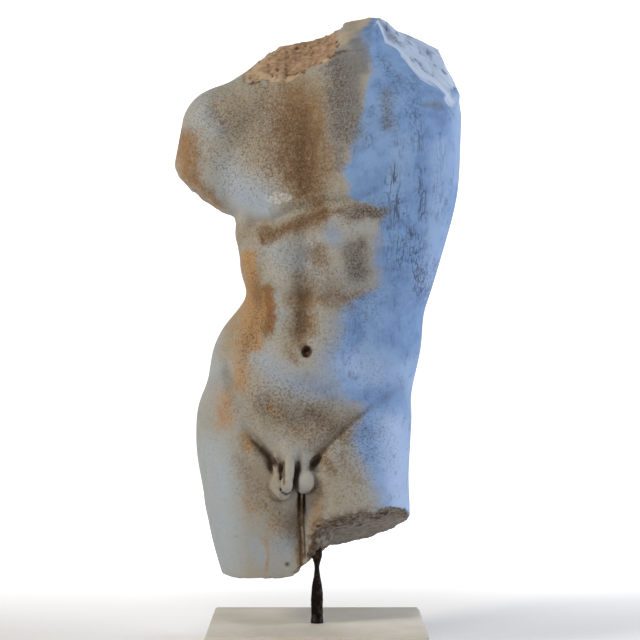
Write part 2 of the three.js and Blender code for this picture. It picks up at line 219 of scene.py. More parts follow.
def shouldersAndNeck(x, y, z, d):
    place = (x, y, z)
    arm = limb(place, (-130, 18, 688), (-153, 24, 612), 61, 53)
    armBreak = (x + 161) * -0.62 + (y - 10) * -0.1 + (z - 598) * -0.78
    armBreak = armBreak + roughness(x, y, z, 9, 5) * 1.6
    d = softUnion(d, softCut(arm, armBreak, 14), 24)
    d = softUnion(d, limb(place, (-124, 18, 690), (-30, 26, 756), 55, 52), 12)
    d = softUnion(d, limb(place, (120, 18, 690), (170, 24, 850), 70, 54), 36)
    return softUnion(d, limb(place, (10, 30, 730), (24, 16, 900), 64, 54), 44)


def pairedMuscles(p, side, d):
    raised = side > 0  # the breast under the raised arm is flatter and higher
    if raised:
        d = softUnion(d, muscle(p, (72, -50, 650), (80, 44, 84), 16), 14)
    else:
        d = softUnion(d, muscle(p, (-76, -56, 640), (78, 44, 70), -16), 24)
    d = softUnion(d, muscle(p, (side * 54, -50, 522), (66 if raised else 52, 46, 62), side * 24), 30)
    d = softUnion(d, muscle(p, (side * (112 if raised else 88), 28, 600),
                            (46 if raised else 42, 66, 100)), 30)
    d = softUnion(d, muscle(p, (side * 84, 66, 656), (60, 46, 80), -side * 10), 24)
    for step in range(3):  # saw-toothed slips of muscle over the ribs
        slip = ((124 if raised else 96) - 6 * step, -46, 574 - 30 * step)
        d = softUnion(d, muscle(p, (side * slip[0], slip[1], slip[2]), (30, 24, 13), side * 34), 9)
    d = softUnion(d, muscle(p, (side * 31, 56, 430), (28, 36, 150)), 22)
    d = softUnion(d, muscle(p, (side * (100 if raised else 94), -6, 374), (42, 72, 52)), 34)
    d = softUnion(d, muscle(p, (side * 32, -66, 450), (38, 36, 120)), 20)
    return softUnion(d, muscle(p, (side * 64, 60, 262 - side * 8), (74, 72, 84)), 14)


def groinFurrows(u, h):
    right = [(-78, 280, 0), (-64, 262, 0.7), (-50, 247, 1.2), (-38, 234, 1.5), (-33, 220, 1)]
    left = [(140, 346, 0), (104, 320, 0.5), (72, 288, 0.8), (46, 262, 1), (28, 240, 1.2), (25, 222, 1)]
    return furrow(u, h, right, 6.5, 8) + furrow(u, h, left, 9, 7)


def frontFurrows(u, h):
    midline = [(0, 735, 0.3), (0, 650, 1), (0, 575, 1), (0, 520, 0.5), (0, 470, 0.9), (0, 410, 1),
               (0, 385, 0)]
    underBreasts = [(-104, 578, 0), (-84, 564, 0.7), (-56, 558, 1), (-22, 572, 0.9), (0, 572, 0.6),
                    (30, 574, 0.9), (70, 570, 1), (104, 584, 0.7), (120, 616, 0.4), (122, 650, 0)]
    bellyEdge = [(58, 520, 0), (66, 480, 0.7), (68, 440, 1), (70, 400, 0.8), (76, 360, 0.5), (70, 320, 0)]
    hipBone = [(-112, 380, 0), (-102, 344, 0.7), (-92, 322, 1), (-76, 300, 0.7), (-60, 276, 0.3)]
    pubicTop = [(-92, 320, 0), (-52, 288, 0.7), (0, 280, 1), (50, 298, 0.6), (80, 306, 0)]
    ribArch = [(0, 578, 0), (26, 560, 0.7), (46, 536, 1), (60, 506, 0.9), (70, 476, 0.3)]
    depth = furrow(u, h, midline, 13, 5.5)
    depth += furrow(u, h, underBreasts, 10, 8)
    depth += furrow(u, h, [(-56, 446, 0), (-38, 452, 1), (38, 452, 1), (60, 446, 0)], 10, 4)
    depth += furrow(u, h, [(-48, 502, 0), (-30, 508, 0.8), (30, 508, 0.8), (50, 502, 0)], 10, 3)
    depth += furrow(-u, h, ribArch, 12, 3) + furrow(u, h, ribArch, 12, 3)
    depth += furrow(-u, h, bellyEdge, 15, 7.5) + furrow(u, h, bellyEdge, 15, 5.5)
    depth += furrow(u, h, hipBone, 10, 7)
    depth += groinFurrows(u, h) * 1.2
    return depth + furrow(u, h, pubicTop, 14, 4.5)


def spineFurrow(u, h):
    return furrow(u, h, [(0, 760, 0.2), (0, 650, 0.8), (0, 480, 1), (0, 370, 0.9), (0, 330, 0.3)], 16, 9)


def unbroken(x, y, z):
    p = straighten(x, y, z)
    d = shouldersAndNeck(x, y, z, trunkAndThighs(x, y, z, p))
    for side in (-1, 1):
        d = pairedMuscles(p, side, d)
    d = softUnion(d, muscle(p, (-103, -36, 562), (19, 42, 34)), 16)  # flank under the hanging arm
    d = softUnion(d, muscle(p, (0, -46, 322), (108, 62, 82)), 30)  # lower belly
    d = softUnion(d, muscle(p, (0, -60, 246), (52, 36, 46)), 24)   # pubic mound
    u, v, h = p
    d = d + (1 - fade(-30, 10, v)) * frontFurrows(u, h)
    return d + fade(-10, 30, v) * spineFurrow(u, h)


# grain of the broken faces

def latticeValue(i, j, k, seed):
    n = np.sin(i * 12.9898 + j * 78.233 + k * 37.719 + seed * 4.137) * 43758.5453
    return n - np.floor(n)


def roughness(x, y, z, size, seed):
    # soft lumps from -1 to 1, each about one size wide
    x, y, z = x / size, y / size, z / size
    i, j, k = np.floor(x), np.floor(y), np.floor(z)
    a, b, c = x - i, y - j, z - k
    a, b, c = (t * t * (3 - 2 * t) for t in (a, b, c))
    total = 0
    for di in (0, 1):
        for dj in (0, 1):
            for dk in (0, 1):
                weight = (a if di else 1 - a) * (b if dj else 1 - b) * (c if dk else 1 - c)
                total = total + weight * latticeValue(i + di, j + dj, k + dk, seed)
    return total * 2 - 1


# a place on each break and the way it faces; some breaks are several faces that meet
breakFaces = {
    "neck": {"at": (-37, -50, 745), "facing": (-0.2, -0.63, 1)},
    "neckWall": {"at": (-23, -52, 757), "facing": (-0.62, -0.45, 1)},
    "neckEnd": {"at": (24, -45, 788), "facing": (-2.2, -0.4, 1)},
    "neckShelf": {"at": (38, -62, 790), "facing": (-0.3, -0.62, 1)},
    "shelfEnd": {"at": (72, -50, 808), "facing": (-1.9, -0.3, 1)},
    "shoulder": {"at": (140, -60, 757), "facing": (0.76, -0.68, 1)},
    "shoulderEnd": {"at": (182, 20, 776), "facing": (1.8, -0.2, 1)},
    "shoulderScoop": {"at": (80, -30, figureTop), "facing": (0.85, -0.36, 0.47)},
    "top": {"at": (68, 0, figureTop + 9), "facing": (-0.24, 0.1, 1)},
    "topEnd": {"at": (76, 0, figureTop + 9), "facing": (0.4, 0.1, 1)},
    "foot": {"at": (-80, 0, body["drawnFoot"]), "facing": (0.02, 0, -1)},
    "thigh": {"at": (65, 0, 130.6), "facing": (0.24, -0.336, -1)},
    "thighChip": {"at": (2, -80, 150), "facing": (2.3, -1.2, -1)},
    "thighBack": {"at": (0, 12, 0), "facing": (0.8, 1, 0)},
    "thighUnder": {"at": (-15, -30, 94), "facing": (0.62, -0.3, -1)},
    "thighUnderEnd": {"at": (30, 0, 0), "facing": (-1, 0, 0)},
    "thighInner": {"at": (-18, 0, 87), "facing": (1.0, 0, -1)},
}


def beyond(name, x, y, z):
    face = breakFaces[name]
    n = np.array(face["facing"]) / np.linalg.norm(face["facing"])
    at = face["at"]
    return (x - at[0]) * n[0] + (y - at[1]) * n[1] + (z - at[2]) * n[2]


def pits(x, y, z, size, seed):
    # crumbly stone: rounded lumps with sharp dark pits between them
    return 1 - 2 * np.abs(roughness(x, y, z, size, seed))


def breakDistances(x, y, z):
    neck = np.minimum(beyond("neck", x, y, z), beyond("neckWall", x, y, z))
    neck = np.minimum(neck, beyond("neckEnd", x, y, z))
    shelf = np.minimum(beyond("neckShelf", x, y, z), beyond("shelfEnd", x, y, z))
    shoulder = np.minimum(beyond("shoulder", x, y, z), beyond("shoulderScoop", x, y, z))
    shoulder = np.maximum(shoulder, beyond("shoulderEnd", x, y, z))
    # a lobe of the thigh hangs lower in front, next to the other thigh
    lobe = np.maximum(beyond("thighChip", x, y, z), beyond("thighBack", x, y, z))
    thighs = np.minimum(beyond("thigh", x, y, z), lobe)
    under = np.minimum(beyond("thighUnder", x, y, z), beyond("thighUnderEnd", x, y, z))
    thighs = np.maximum(thighs, np.minimum(under, beyond("thighInner", x, y, z)))
    top = np.maximum(beyond("top", x, y, z), beyond("topEnd", x, y, z))
    return {"neck": neck, "shelf": shelf, "shoulder": shoulder, "thigh": thighs, "top": top,
            "foot": beyond("foot", x, y, z)}


def roughBreaks(x, y, z):
    faces = breakDistances(x, y, z)
    # the shoulder split along slanting planes, so its grain is stretched
    along = x * 0.55 - z * 0.83
    across = x * 0.83 + z * 0.55
    faces["neck"] = faces["neck"] + 2.8 * pits(x, y, z, 12, 1) + 1.5 * pits(x, y, z, 6.5, 2)
    faces["shelf"] = faces["shelf"] + 1.4 * roughness(x, y, z, 16, 16)
    faces["shoulder"] = (faces["shoulder"] + 5.0 * roughness(along / 3.4, y / 2, across, 17, 3)
                         + 2.0 * pits(along / 4, y / 1.5, across, 10, 4))
    # crumbled along the front, smoother towards the back
    worn = 0.35 + 0.65 * fade(10, -60, y)
    faces["thigh"] = faces["thigh"] + 3.2 * worn * pits(x / 2.2, y, z, 7, 6) + 2.0 * roughness(x, y, z, 24, 7)
    faces["foot"] = faces["foot"] + 1.8 * roughness(x, y, z, 26, 8) + 0.5 * pits(x, y, z, 7, 9)
    faces["top"] = faces["top"] + 1.5 * roughness(x, y, z, 14, 10)
    return faces


def stone(x, y, z):
    d = unbroken(x, y, z)
    for face in roughBreaks(x, y, z).values():
        d = np.maximum(d, face)
    return markedWith(d, x, y, z)


# carved apart from the body's skin: rounded forms, and the deep drill work round them
groin = {
    "forms": [
        {"at": (-48, -90, 197), "radii": (16, 16, 19), "tilt": 6, "blend": 3},
        {"at": (-17, -90, 203), "radii": (13.5, 15, 16.5), "tilt": -6, "blend": 2.5},
        {"at": (-54, -90, 221), "radii": (5.5, 8, 20), "tilt": 8, "blend": 4},
        {"at": (-19, -90, 225), "radii": (5, 8, 18), "tilt": -4, "blend": 4},
        {"at": (-37, -90, 240), "radii": (11, 12, 17), "tilt": 0, "blend": 10},
    ],
    "shaft": [
        {"at": (-38, -98, 217), "radii": (8.2, 11.5, 27), "tilt": -5},
        {"at": (-40.5, -103, 201), "radii": (8.3, 10, 12.5), "tilt": 0},
    ],
    "hollows": [
        {"at": (-68, -90, 241), "radii": (5, 13, 20), "tilt": 45},
        {"at": (-2, -90, 230), "radii": (6.5, 13, 11), "tilt": -35},
        {"at": (-28.5, -104, 214), "radii": (1.8, 9, 20), "tilt": -3},
        {"at": (-49.5, -104, 222), "radii": (1.7, 8, 15), "tilt": 6},
        {"at": (-24.6, -76, 125), "radii": (1.8, 11, 80), "tilt": -0.5},
        {"at": (-17.6, -76, 127), "radii": (1.4, 10, 78), "tilt": -0.5},
    ],
}

# small carved or broken places on the front
marks = {
    "navel": {"at": (-13.5, -101, 378.5), "radii": (6.6, 7.5, 7.6)},
    "navelKnot": {"at": (-12.5, -94, 376), "radii": (3.6, 5, 3.4)},
    "shoulderChip": {"at": (182, 721), "halfSize": (10, 11), "depth": 2},
    # broken nipple: a shallow patch of small pits
    "nippleChip": {"at": (-52, 590), "halfSize": (14, 7), "grain": 4.5, "depth": 1.6},
    "thighPits": [(-41, 88, 2.8), (-110, 126, 1.6)],
}


def awayFrom(chip, x, z):
    # 0 at its middle, 1 at its edge
    return np.hypot((x - chip["at"][0]) / chip["halfSize"][0], (z - chip["at"][1]) / chip["halfSize"][1])


def markedWith(d, x, y, z):
    p = (x, y, z)
    for form in groin["forms"]:
        d = softUnion(d, muscle(p, form["at"], form["radii"], form["tilt"]), form["blend"])
    front = np.min([muscle(p, form["at"], form["radii"], form["tilt"]) for form in groin["shaft"]], axis=0)
    # a drilled line round its lower end sets it off from what is behind it
    line = np.maximum(np.abs(front - 0.9) - 1.1, z - 222)
    d = softCut(d, -np.maximum(line, -d - 5), 1)
    d = softUnion(d, front, 1.5)
    for hollow in groin["hollows"]:
        d = softCut(d, -muscle(p, hollow["at"], hollow["radii"], hollow["tilt"]), 2)
    d = softCut(d, -muscle(p, marks["navel"]["at"], marks["navel"]["radii"]), 3)
    d = softUnion(d, muscle(p, marks["navelKnot"]["at"], marks["navelKnot"]["radii"]), 2)
    chip = marks["shoulderChip"]
    d = d + chip["depth"] * fade(1.1, 0.6, awayFrom(chip, x, z)) * fade(20, 0, y)
    chip = marks["nippleChip"]
    patch = fade(1.1, 0.6, awayFrom(chip, x, z) + 0.4 * roughness(x, y, z, 8, 14)) * fade(20, 0, y)
    d = d + chip["depth"] * patch * (0.5 + 0.5 * pits(x, y, z, chip["grain"], 15))
    for px, pz, radius in marks["thighPits"]:
        d = d + 1.6 * radius * np.exp(-((x - px) ** 2 + (z - pz) ** 2) / radius ** 2) * fade(20, 0, y)
    return d


def blockGrid(field, low, high, fine, perBlock):
    # values on a fine grid, worked out only in the blocks that the surface runs through
    block = fine * perBlock
    counts = [int(math.ceil((high[i] - low[i]) / block)) for i in range(3)]
    centres = [low[i] + (np.arange(counts[i]) + 0.5) * block for i in range(3)]
    gx, gy, gz = np.meshgrid(*centres, indexing="ij")
    coarse = field(gx.ravel(), gy.ravel(), gz.ravel()).reshape(gx.shape)
    near = np.abs(coarse) < block * 1.3
    farOff = 50.0
    values = np.where(coarse < 0, -farOff, farOff).astype(np.float32)
    for axis in range(3):
        values = np.repeat(values, perBlock, axis)
    blocks = np.argwhere(near)
    steps = np.stack(np.meshgrid(*[np.arange(perBlock)] * 3, indexing="ij"), -1).reshape(-1, 3)
    batch = 400
    for start in range(0, len(blocks), batch):
        part = (blocks[start:start + batch, None, :] * perBlock + steps[None]).reshape(-1, 3)
        x, y, z = (low[i] + part[:, i] * fine for i in range(3))
        values[part[:, 0], part[:, 1], part[:, 2]] = field(x, y, z)
    return values


def surfaceQuads(values, low, fine):
    # one point in each cell that the surface crosses, and one quad round each grid edge that it crosses
    inside = values < 0
    shape = np.array(values.shape) - 1
    count = np.zeros(shape, np.int8)
    corners = [(i, j, k) for k in (0, 1) for j in (0, 1) for i in (0, 1)]
    for i, j, k in corners:
        count += inside[i:i + shape[0], j:j + shape[1], k:k + shape[2]]
    cells = np.argwhere((count > 0) & (count < 8))
    index = np.full(shape, -1, np.int64)
    index[cells[:, 0], cells[:, 1], cells[:, 2]] = np.arange(len(cells))
    at = [values[cells[:, 0] + i, cells[:, 1] + j, cells[:, 2] + k] for i, j, k in corners]
    total = np.zeros((len(cells), 3))
    crossings = np.zeros(len(cells))
    for a in range(8):
        for b in range(a + 1, 8):
            if sum(p != q for p, q in zip(corners[a], corners[b])) != 1:
                continue
            crossed = (at[a] < 0) != (at[b] < 0)
            t = np.where(crossed, at[a] / np.where(crossed, at[a] - at[b], 1), 0)
            point = np.array(corners[a]) + (np.array(corners[b]) - np.array(corners[a])) * t[:, None]
            total += np.where(crossed[:, None], point, 0)
            crossings += crossed
    points = (cells + total / crossings[:, None]) * fine + low
    quads = []
    for axis in range(3):
        one, two = (axis + 1) % 3, (axis + 2) % 3
        lower = [slice(None)] * 3
        upper = [slice(None)] * 3
        lower[axis] = slice(0, values.shape[axis] - 1)
        upper[axis] = slice(1, values.shape[axis])
        edges = np.argwhere(inside[tuple(lower)] != inside[tuple(upper)])
        leaving = inside[tuple(lower)][edges[:, 0], edges[:, 1], edges[:, 2]]
        ring = []
        for stepOne, stepTwo in ((1, 1), (0, 1), (0, 0), (1, 0)):
            cell = edges.copy()
            cell[:, one] -= stepOne
            cell[:, two] -= stepTwo
            ring.append(index[cell[:, 0], cell[:, 1], cell[:, 2]])
        quad = np.stack(ring, 1)
        quad[~leaving] = quad[~leaving][:, ::-1]
        quads.append(quad)
    return points, np.concatenate(quads)


def settle(points, field, step=0.6, farthest=1.5):
    # moves each point down the field's own slope on to the surface
    x, y, z = points.T
    d = field(x, y, z)
    slope = [field(x + step, y, z) - d, field(x, y + step, z) - d, field(x, y, z + step) - d]
    slope = np.stack(slope, 1) / step
    length2 = np.maximum((slope ** 2).sum(1), 0.3)
    move = -(d / length2)[:, None] * slope
    size = np.linalg.norm(move, axis=1)
    return points + move * np.minimum(1, farthest / np.maximum(size, 1e-6))[:, None]


def newMesh(name, points, faces):
    mesh = bpy.data.meshes.new(name)
    sides = faces.shape[1]
    mesh.vertices.add(len(points))
    mesh.vertices.foreach_set("co", np.asarray(points, np.float32).ravel())
    mesh.loops.add(faces.size)
    mesh.loops.foreach_set("vertex_index", faces.astype(np.int32).ravel())
    mesh.polygons.add(len(faces))
    mesh.polygons.foreach_set("loop_start", np.arange(0, faces.size, sides, dtype=np.int32))
    mesh.update(calc_edges=True)
    mesh.validate()
    return mesh


def newObject(name, mesh):
    thing = bpy.data.objects.new(name, mesh)
    scene.collection.objects.link(thing)
    return thing


def applied(thing):
    # the finished mesh with all modifiers in it, in place of the old one
    graph = bpy.context.evaluated_depsgraph_get()
    mesh = bpy.data.meshes.new_from_object(thing.evaluated_get(graph))
    thing.modifiers.clear()
    thing.data = mesh
    return thing


# stains on the front, with painted shade and light among them, each a soft stroke between two places in the
# photograph's pixels: x and y of both ends, half width and strength
# the tan, brown, speck and grey strokes along the lower edges of the breasts, and the brown and ochre ones
# under the arm stump, are painted shade over the stains
stainShadeAndLightStrokes = {
    "tan": [(235, 110, 260, 150, 26, 0.8), (262, 95, 300, 95, 30, 0.7), (300, 100, 310, 200, 40, 0.8),
            (345, 70, 345, 200, 20, 0.5), (240, 235, 320, 222, 16, 0.7), (250, 260, 262, 330, 20, 0.6),
            (300, 290, 350, 300, 24, 0.55), (300, 330, 300, 345, 20, 0.5), (250, 380, 260, 430, 26, 0.5),
            (270, 415, 350, 430, 26, 0.7), (260, 470, 275, 520, 26, 0.6), (325, 460, 345, 500, 28, 0.45),
            (300, 500, 302, 560, 7, 0.5), (215, 420, 232, 440, 24, 0.4), (380, 295, 390, 297, 12, 0.5),
            (357, 252, 357, 270, 16, 0.5), (319, 257, 319, 258, 14, 0.4), (350, 212, 378, 216, 10, 0.6),
            (236, 308, 228, 350, 15, 0.6)],
    "brown": [(292, 92, 300, 120, 22, 0.7), (296, 118, 301, 165, 37, 0.9), (308, 130, 305, 185, 19, 0.95),
              (312, 112, 313, 146, 8, 0.6), (308, 190, 316, 205, 15, 0.7), (262, 236, 296, 226, 8, 0.85),
              (296, 226, 325, 214, 9, 0.9), (325, 212, 345, 211, 6, 0.6), (355, 213, 379, 214, 9, 0.8),
              (319, 256, 319, 258, 13, 0.65), (357, 252, 358, 266, 14, 0.15),
              (298, 278, 309, 282, 10, 0.4), (304, 297, 304, 330, 15, 0.8), (290, 300, 360, 299, 9, 0.6),
              (268, 290, 268, 328, 9, 0.9), (299, 330, 304, 345, 8, 0.7), (292, 350, 294, 356, 6, 0.5),
              (190, 178, 216, 208, 12, 0.7), (200, 190, 222, 212, 6, 0.5), (188, 140, 190, 175, 15, 0.75),
              (215, 105, 222, 125, 6, 0.3), (262, 405, 290, 420, 12, 0.35),
              (314, 414, 341, 432, 14, 0.55), (341, 432, 365, 412, 7, 0.6),
              (300, 430, 320, 445, 16, 0.35), (243, 440, 255, 450, 8, 0.6),
              (240, 460, 262, 500, 12, 0.35), (262, 500, 290, 525, 14, 0.35),
              (322, 455, 330, 470, 9, 0.6), (318, 490, 318, 540, 10, 0.5), (345, 460, 360, 480, 12, 0.35),
              (300, 500, 301, 566, 3.5, 0.8)],
    "speck": [(222, 105, 262, 165, 38, 0.8), (215, 150, 235, 180, 20, 0.7), (240, 235, 320, 225, 14, 0.6),
              (262, 100, 310, 200, 40, 0.7), (335, 70, 345, 130, 20, 1.0), (338, 140, 338, 165, 10, 0.7),
              (389, 95, 389, 128, 10, 0.7), (330, 200, 345, 215, 18, 0.7), (280, 250, 360, 300, 40, 0.6),
              (357, 250, 357, 268, 17, 1.0), (355, 213, 379, 214, 12, 1.0), (280, 330, 330, 340, 40, 0.5),
              (350, 320, 378, 400, 22, 0.4), (270, 400, 360, 440, 40, 0.75),
              (250, 340, 262, 400, 20, 0.5), (250, 470, 290, 530, 26, 0.4), (320, 450, 360, 505, 26, 0.5),
              (215, 300, 225, 380, 16, 0.25), (290, 380, 320, 400, 20, 0.35)],
    "ochre": [(186, 138, 184, 178, 15, 0.4), (192, 182, 222, 212, 9, 0.35), (250, 255, 256, 300, 9, 0.9),
              (256, 300, 250, 340, 16, 1.0), (246, 340, 240, 385, 12, 0.6), (244, 300, 235, 345, 14, 0.4),
              (262, 310, 268, 300, 8, 0.6), (311, 108, 313, 122, 12, 0.25), (290, 90, 300, 100, 12, 0.2),
              (225, 400, 225, 422, 14, 0.55), (243, 436, 250, 450, 6, 0.5), (272, 408, 276, 414, 7, 0.5),
              (367, 401, 370, 404, 4, 0.4), (250, 500, 252, 508, 8, 0.35), (274, 525, 276, 529, 9, 0.35),
              (268, 535, 268, 574, 3, 0.6), (315, 500, 312, 530, 8, 0.4), (213, 300, 235, 330, 8, 0.25)],
    "rust": [(193, 150, 195, 180, 10, 0.35), (268, 290, 272, 328, 5, 0.8), (225, 404, 225, 418, 10, 0.3),
             (313, 112, 313, 118, 7, 0.2)],
    "grey": [(345, 66, 345, 130, 19, 1.0), (358, 45, 362, 70, 9, 0.8), (338, 140, 340, 165, 9, 0.6),
             (357, 250, 357, 268, 16, 0.8), (389, 98, 389, 128, 9, 0.5), (300, 255, 330, 285, 26, 0.35),
             (300, 380, 330, 395, 26, 0.25), (345, 212, 378, 216, 8, 0.5), (330, 300, 350, 306, 12, 0.4),
             (270, 405, 345, 425, 20, 0.4), (354, 252, 358, 268, 14, 0.8), (355, 213, 379, 214, 11, 0.8),
             (425, 103, 441, 108, 5, 0.6), (352, 24, 362, 44, 10, 0.4), (212, 112, 222, 130, 8, 0.4)],
    "crumb": [(310, 552, 316, 532, 9, 0.9), (318, 526, 330, 522, 8, 0.9), (330, 519, 372, 510, 4, 0.7),
              (372, 510, 410, 517, 3, 0.6)],
    "white": [(269, 198, 279, 200, 4.5, 0.9), (276, 195, 288, 198, 4, 0.9)],
    "cream": [(288, 466, 287, 486, 6, 0.4), (277, 493, 284, 498, 6, 0.4), (306, 477, 307, 487, 7, 0.4),
              (342, 42, 352, 30, 9, 0.8), (352, 26, 366, 20, 7, 0.7)],
    # dirt and painted shade: dark lines round the drilled forms, in the navel, along the groin crease and
    # under the worn shelf at the neck
    "dirtAndShade": [(252, 441, 264, 451, 2.5, 0.6), (262, 449, 275, 464, 4, 0.9), (312, 468, 319, 457, 4, 1.0),
             (284, 462, 284, 484, 1.5, 0.8), (298, 462, 298, 493, 1.6, 0.8),
             (270, 490, 281, 503, 1.5, 0.5), (298, 499, 301, 566, 1.3, 1.0),
             (303, 499, 305, 556, 1.3, 0.9), (319, 455, 345, 429, 3, 0.5), (345, 429, 372, 405, 3, 0.35),
             (307, 350, 307, 352, 5, 0.8), (300, 495, 316, 488, 2, 0.5), (336, 53, 345, 51, 1.6, 0.8),
             (345, 51, 362, 50, 1.3, 0.5)],
    # the pale strokes along the left edges of the shoulder, hip and thigh are partly a painted highlight
    # where light falls on that side
    "pale": [(235, 185, 262, 205, 20, 0.9), (205, 110, 215, 125, 12, 0.6), (276, 245, 295, 262, 14, 0.7),
             (262, 360, 285, 380, 16, 0.7), (215, 450, 228, 560, 20, 0.9), (255, 545, 265, 560, 9, 0.5),
             (282, 535, 290, 555, 9, 0.5), (290, 470, 290, 490, 7, 0.6), (275, 490, 283, 495, 8, 0.7),
             (305, 480, 307, 485, 8, 0.7), (215, 330, 212, 370, 10, 0.6), (196, 100, 215, 100, 10, 0.4)],
    # blue: painted blue sky light on clean stone
    "blue": [(325, 222, 336, 238, 11, 0.5), (345, 365, 400, 375, 24, 0.9), (320, 385, 345, 390, 14, 0.6),
             (350, 320, 370, 340, 18, 0.7), (300, 384, 332, 392, 15, 0.4), (360, 36, 368, 60, 9, 0.5),
             (245, 195, 262, 210, 14, 0.2), (262, 362, 285, 378, 14, 0.2)],
    # light: painted highlight where light falls on the right side, its edge and the lower right thigh
    "light": [(395, 430, 400, 508, 20, 1.0), (350, 368, 400, 372, 18, 0.6), (456, 100, 456, 180, 7, 0.6),
              (410, 360, 410, 420, 8, 0.5), (445, 150, 430, 280, 14, 0.5), (405, 140, 400, 170, 14, 0.3)],
    "streak": [(390, 182, 400, 213, 10, 1.0), (400, 213, 402, 263, 11, 0.8), (421, 170, 422, 215, 7, 0.9),
               (413, 235, 421, 290, 11, 1.0), (394, 168, 396, 200, 5, 1.0), (432, 262, 430, 302, 8, 0.8),
               (412, 79, 420, 150, 9, 0.6), (380, 60, 400, 90, 7, 0.6), (385, 215, 392, 265, 8, 0.5),
               (440, 150, 440, 215, 7, 0.4), (371, 106, 377, 117, 2.2, 0.8),
               (405, 104, 411, 129, 2.2, 0.8), (368, 138, 369, 143, 3, 1.0), (378, 56, 379, 59, 2.5, 1.0),
               (388, 62, 390, 67, 2.5, 1.0), (397, 74, 399, 79, 3, 1.0), (398, 120, 402, 160, 2, 0.6),
               (440, 120, 441, 150, 2, 0.5), (395, 300, 398, 330, 2.4, 0.5)],
}

# the clean side, painted blue for the sky light that falls on it, in the photograph's pixels
cleanSkyLitSide = {
    "softness": (4, 11),        # half width of its soft edge, on the chest and below it
    "softerFrom": (225, 245),   # the stretch down the picture where the one goes over into the other
    # its left edge: y and x
    "edge": [(20, 362), (40, 362), (52, 366), (66, 371), (100, 365), (124, 355), (147, 350), (162, 349),
             (167, 343), (176, 344), (187, 350), (200, 354), (206, 374), (213, 382), (222, 381),
             (262, 375), (288, 376), (303, 348), (330, 341), (385, 336), (398, 348), (403, 362),
             (409, 363), (424, 354), (438, 350), (449, 355), (464, 365), (482, 372), (500, 379),
             (520, 381)],
}


def inPhotograph(x, y, z):
    # where a place on the figure, in millimetres, lies in the photograph
    middle = view["imageSize"] / 2
    nearness = 1 + y * mm / view["distance"]
    px = middle + (x - (middle - view["axisPixel"]) * view["mmPerPixel"]) / nearness / view["mmPerPixel"]
    py = middle - (z - (view["floorPixel"] - middle) * view["mmPerPixel"]) / nearness / view["mmPerPixel"]
    return px, py


def softStrokes(rows, px, py):
    total = np.zeros(px.shape)
    for x0, y0, x1, y1, halfWidth, strength in rows:
        dx, dy = x1 - x0, y1 - y0
        t = np.clip(((px - x0) * dx + (py - y0) * dy) / max(dx * dx + dy * dy, 1e-6), 0, 1)
        away = np.hypot(px - x0 - t * dx, py - y0 - t * dy) / halfWidth
        total = np.maximum(total, strength * np.exp(-1.1 * away ** 2.4))
    return total


def paint(mesh, name, values):
    layer = mesh.attributes.new(name, "FLOAT", "POINT")
    layer.data.foreach_set("value", np.clip(values, 0, 1).astype(np.float32))


def surfacePoints(mesh):
    count = len(mesh.vertices)
    points = np.zeros(count * 3, np.float32)
    normals = np.zeros(count * 3, np.float32)
    mesh.vertices.foreach_get("co", points)
    mesh.vertices.foreach_get("normal", normals)
    return points.reshape(-1, 3).astype(float) / mm, normals.reshape(-1, 3).astype(float)


def depthUnder(points, normals, away):
    # 0 where the stone stands free, 1 where it closes in round a point that far off the surface
    x, y, z = (points + normals * away).T
    return fade(0.9, 0.25, stone(x, y, z) / away)


# three sizes of soft lumps that fray and scatter the stains: width in millimetres and seed
fray = {"cloud": (62, 11), "wisp": (24, 12), "puff": (9, 13)}

# parts whose broken stone has its own colours
brokenParts = ("neck", "shoulder", "thigh", "foot")


# stains where the picture doesn't show the stone: layer, shares of cloud, wisp and puff in its noise, the
# noise at which it starts and is full, and strength
unseenStains = [
    ("tan", (1, 0.3, 0), -0.3, 0.5, 0.7),
    ("brown", (1, 0.4, 0), 0.25, 0.9, 0.8),
    ("speck", (1, 0.5, 0), -0.2, 0.7, 0.7),
    ("ochre", (-0.4, 1, 0), 0.45, 0.9, 0.5),
    ("rust", (-0.2, 1, 0.3), 0.6, 1.0, 0.4),
    ("pale", (-1, 0.3, 0), 0.2, 0.7, 0.6),
]


def stainAndLightAmounts(x, y, z, front):
    cloud, wisp, puff = (roughness(x, y, z, *fray[name]) for name in ("cloud", "wisp", "puff"))
    px, py = inPhotograph(x, y, z)
    # carved and drawn things keep their place, and the other stains, with the painted shade and light among
    # them, fray
    exact = {name: front * softStrokes(stainShadeAndLightStrokes[name], px, py)
             for name in ("dirtAndShade", "white", "streak", "crumb")}
    edge = readCurve(cleanSkyLitSide["edge"], 1, py + 1.5 * wisp)
    sharp, softer = cleanSkyLitSide["softness"]
    soft = sharp + (softer - sharp) * fade(*cleanSkyLitSide["softerFrom"], py)
    cleanSkyLit = front * fade(edge - soft, edge + soft, px + wisp + 2 * puff)
    px, py = px + 2 * cloud + 3 * wisp + 2 * puff, py - 2 * cloud + 3 * wisp - 2 * puff
    amounts = {name: front * softStrokes(rows, px, py) for name, rows in stainShadeAndLightStrokes.items()}
    amounts.update(exact)
    behind = 1 - front
    for name, shares, start, full, strength in unseenStains:
        noise = shares[0] * cloud + shares[1] * wisp + shares[2] * puff
        inReach = fade(60, -80, x) if name == "ochre" else 1  # only on the right half
        amounts[name] += behind * inReach * strength * fade(start, full, noise)
    # the ochre of the hip and flank goes on round the side
    amounts["ochre"] += behind * softStrokes(stainShadeAndLightStrokes["ochre"][:6], px, py) * 0.7
    for name in ("tan", "brown", "ochre", "rust"):
        amounts[name] *= 1 - 0.92 * cleanSkyLit
    # painted blue sky light: the clean front side, and behind it the right half
    skyLitBlue = cleanSkyLit + behind * fade(20, 90, x + 25 * cloud) * 0.7
    amounts["blue"] = np.maximum(amounts["blue"], skyLitBlue)
    return amounts, puff


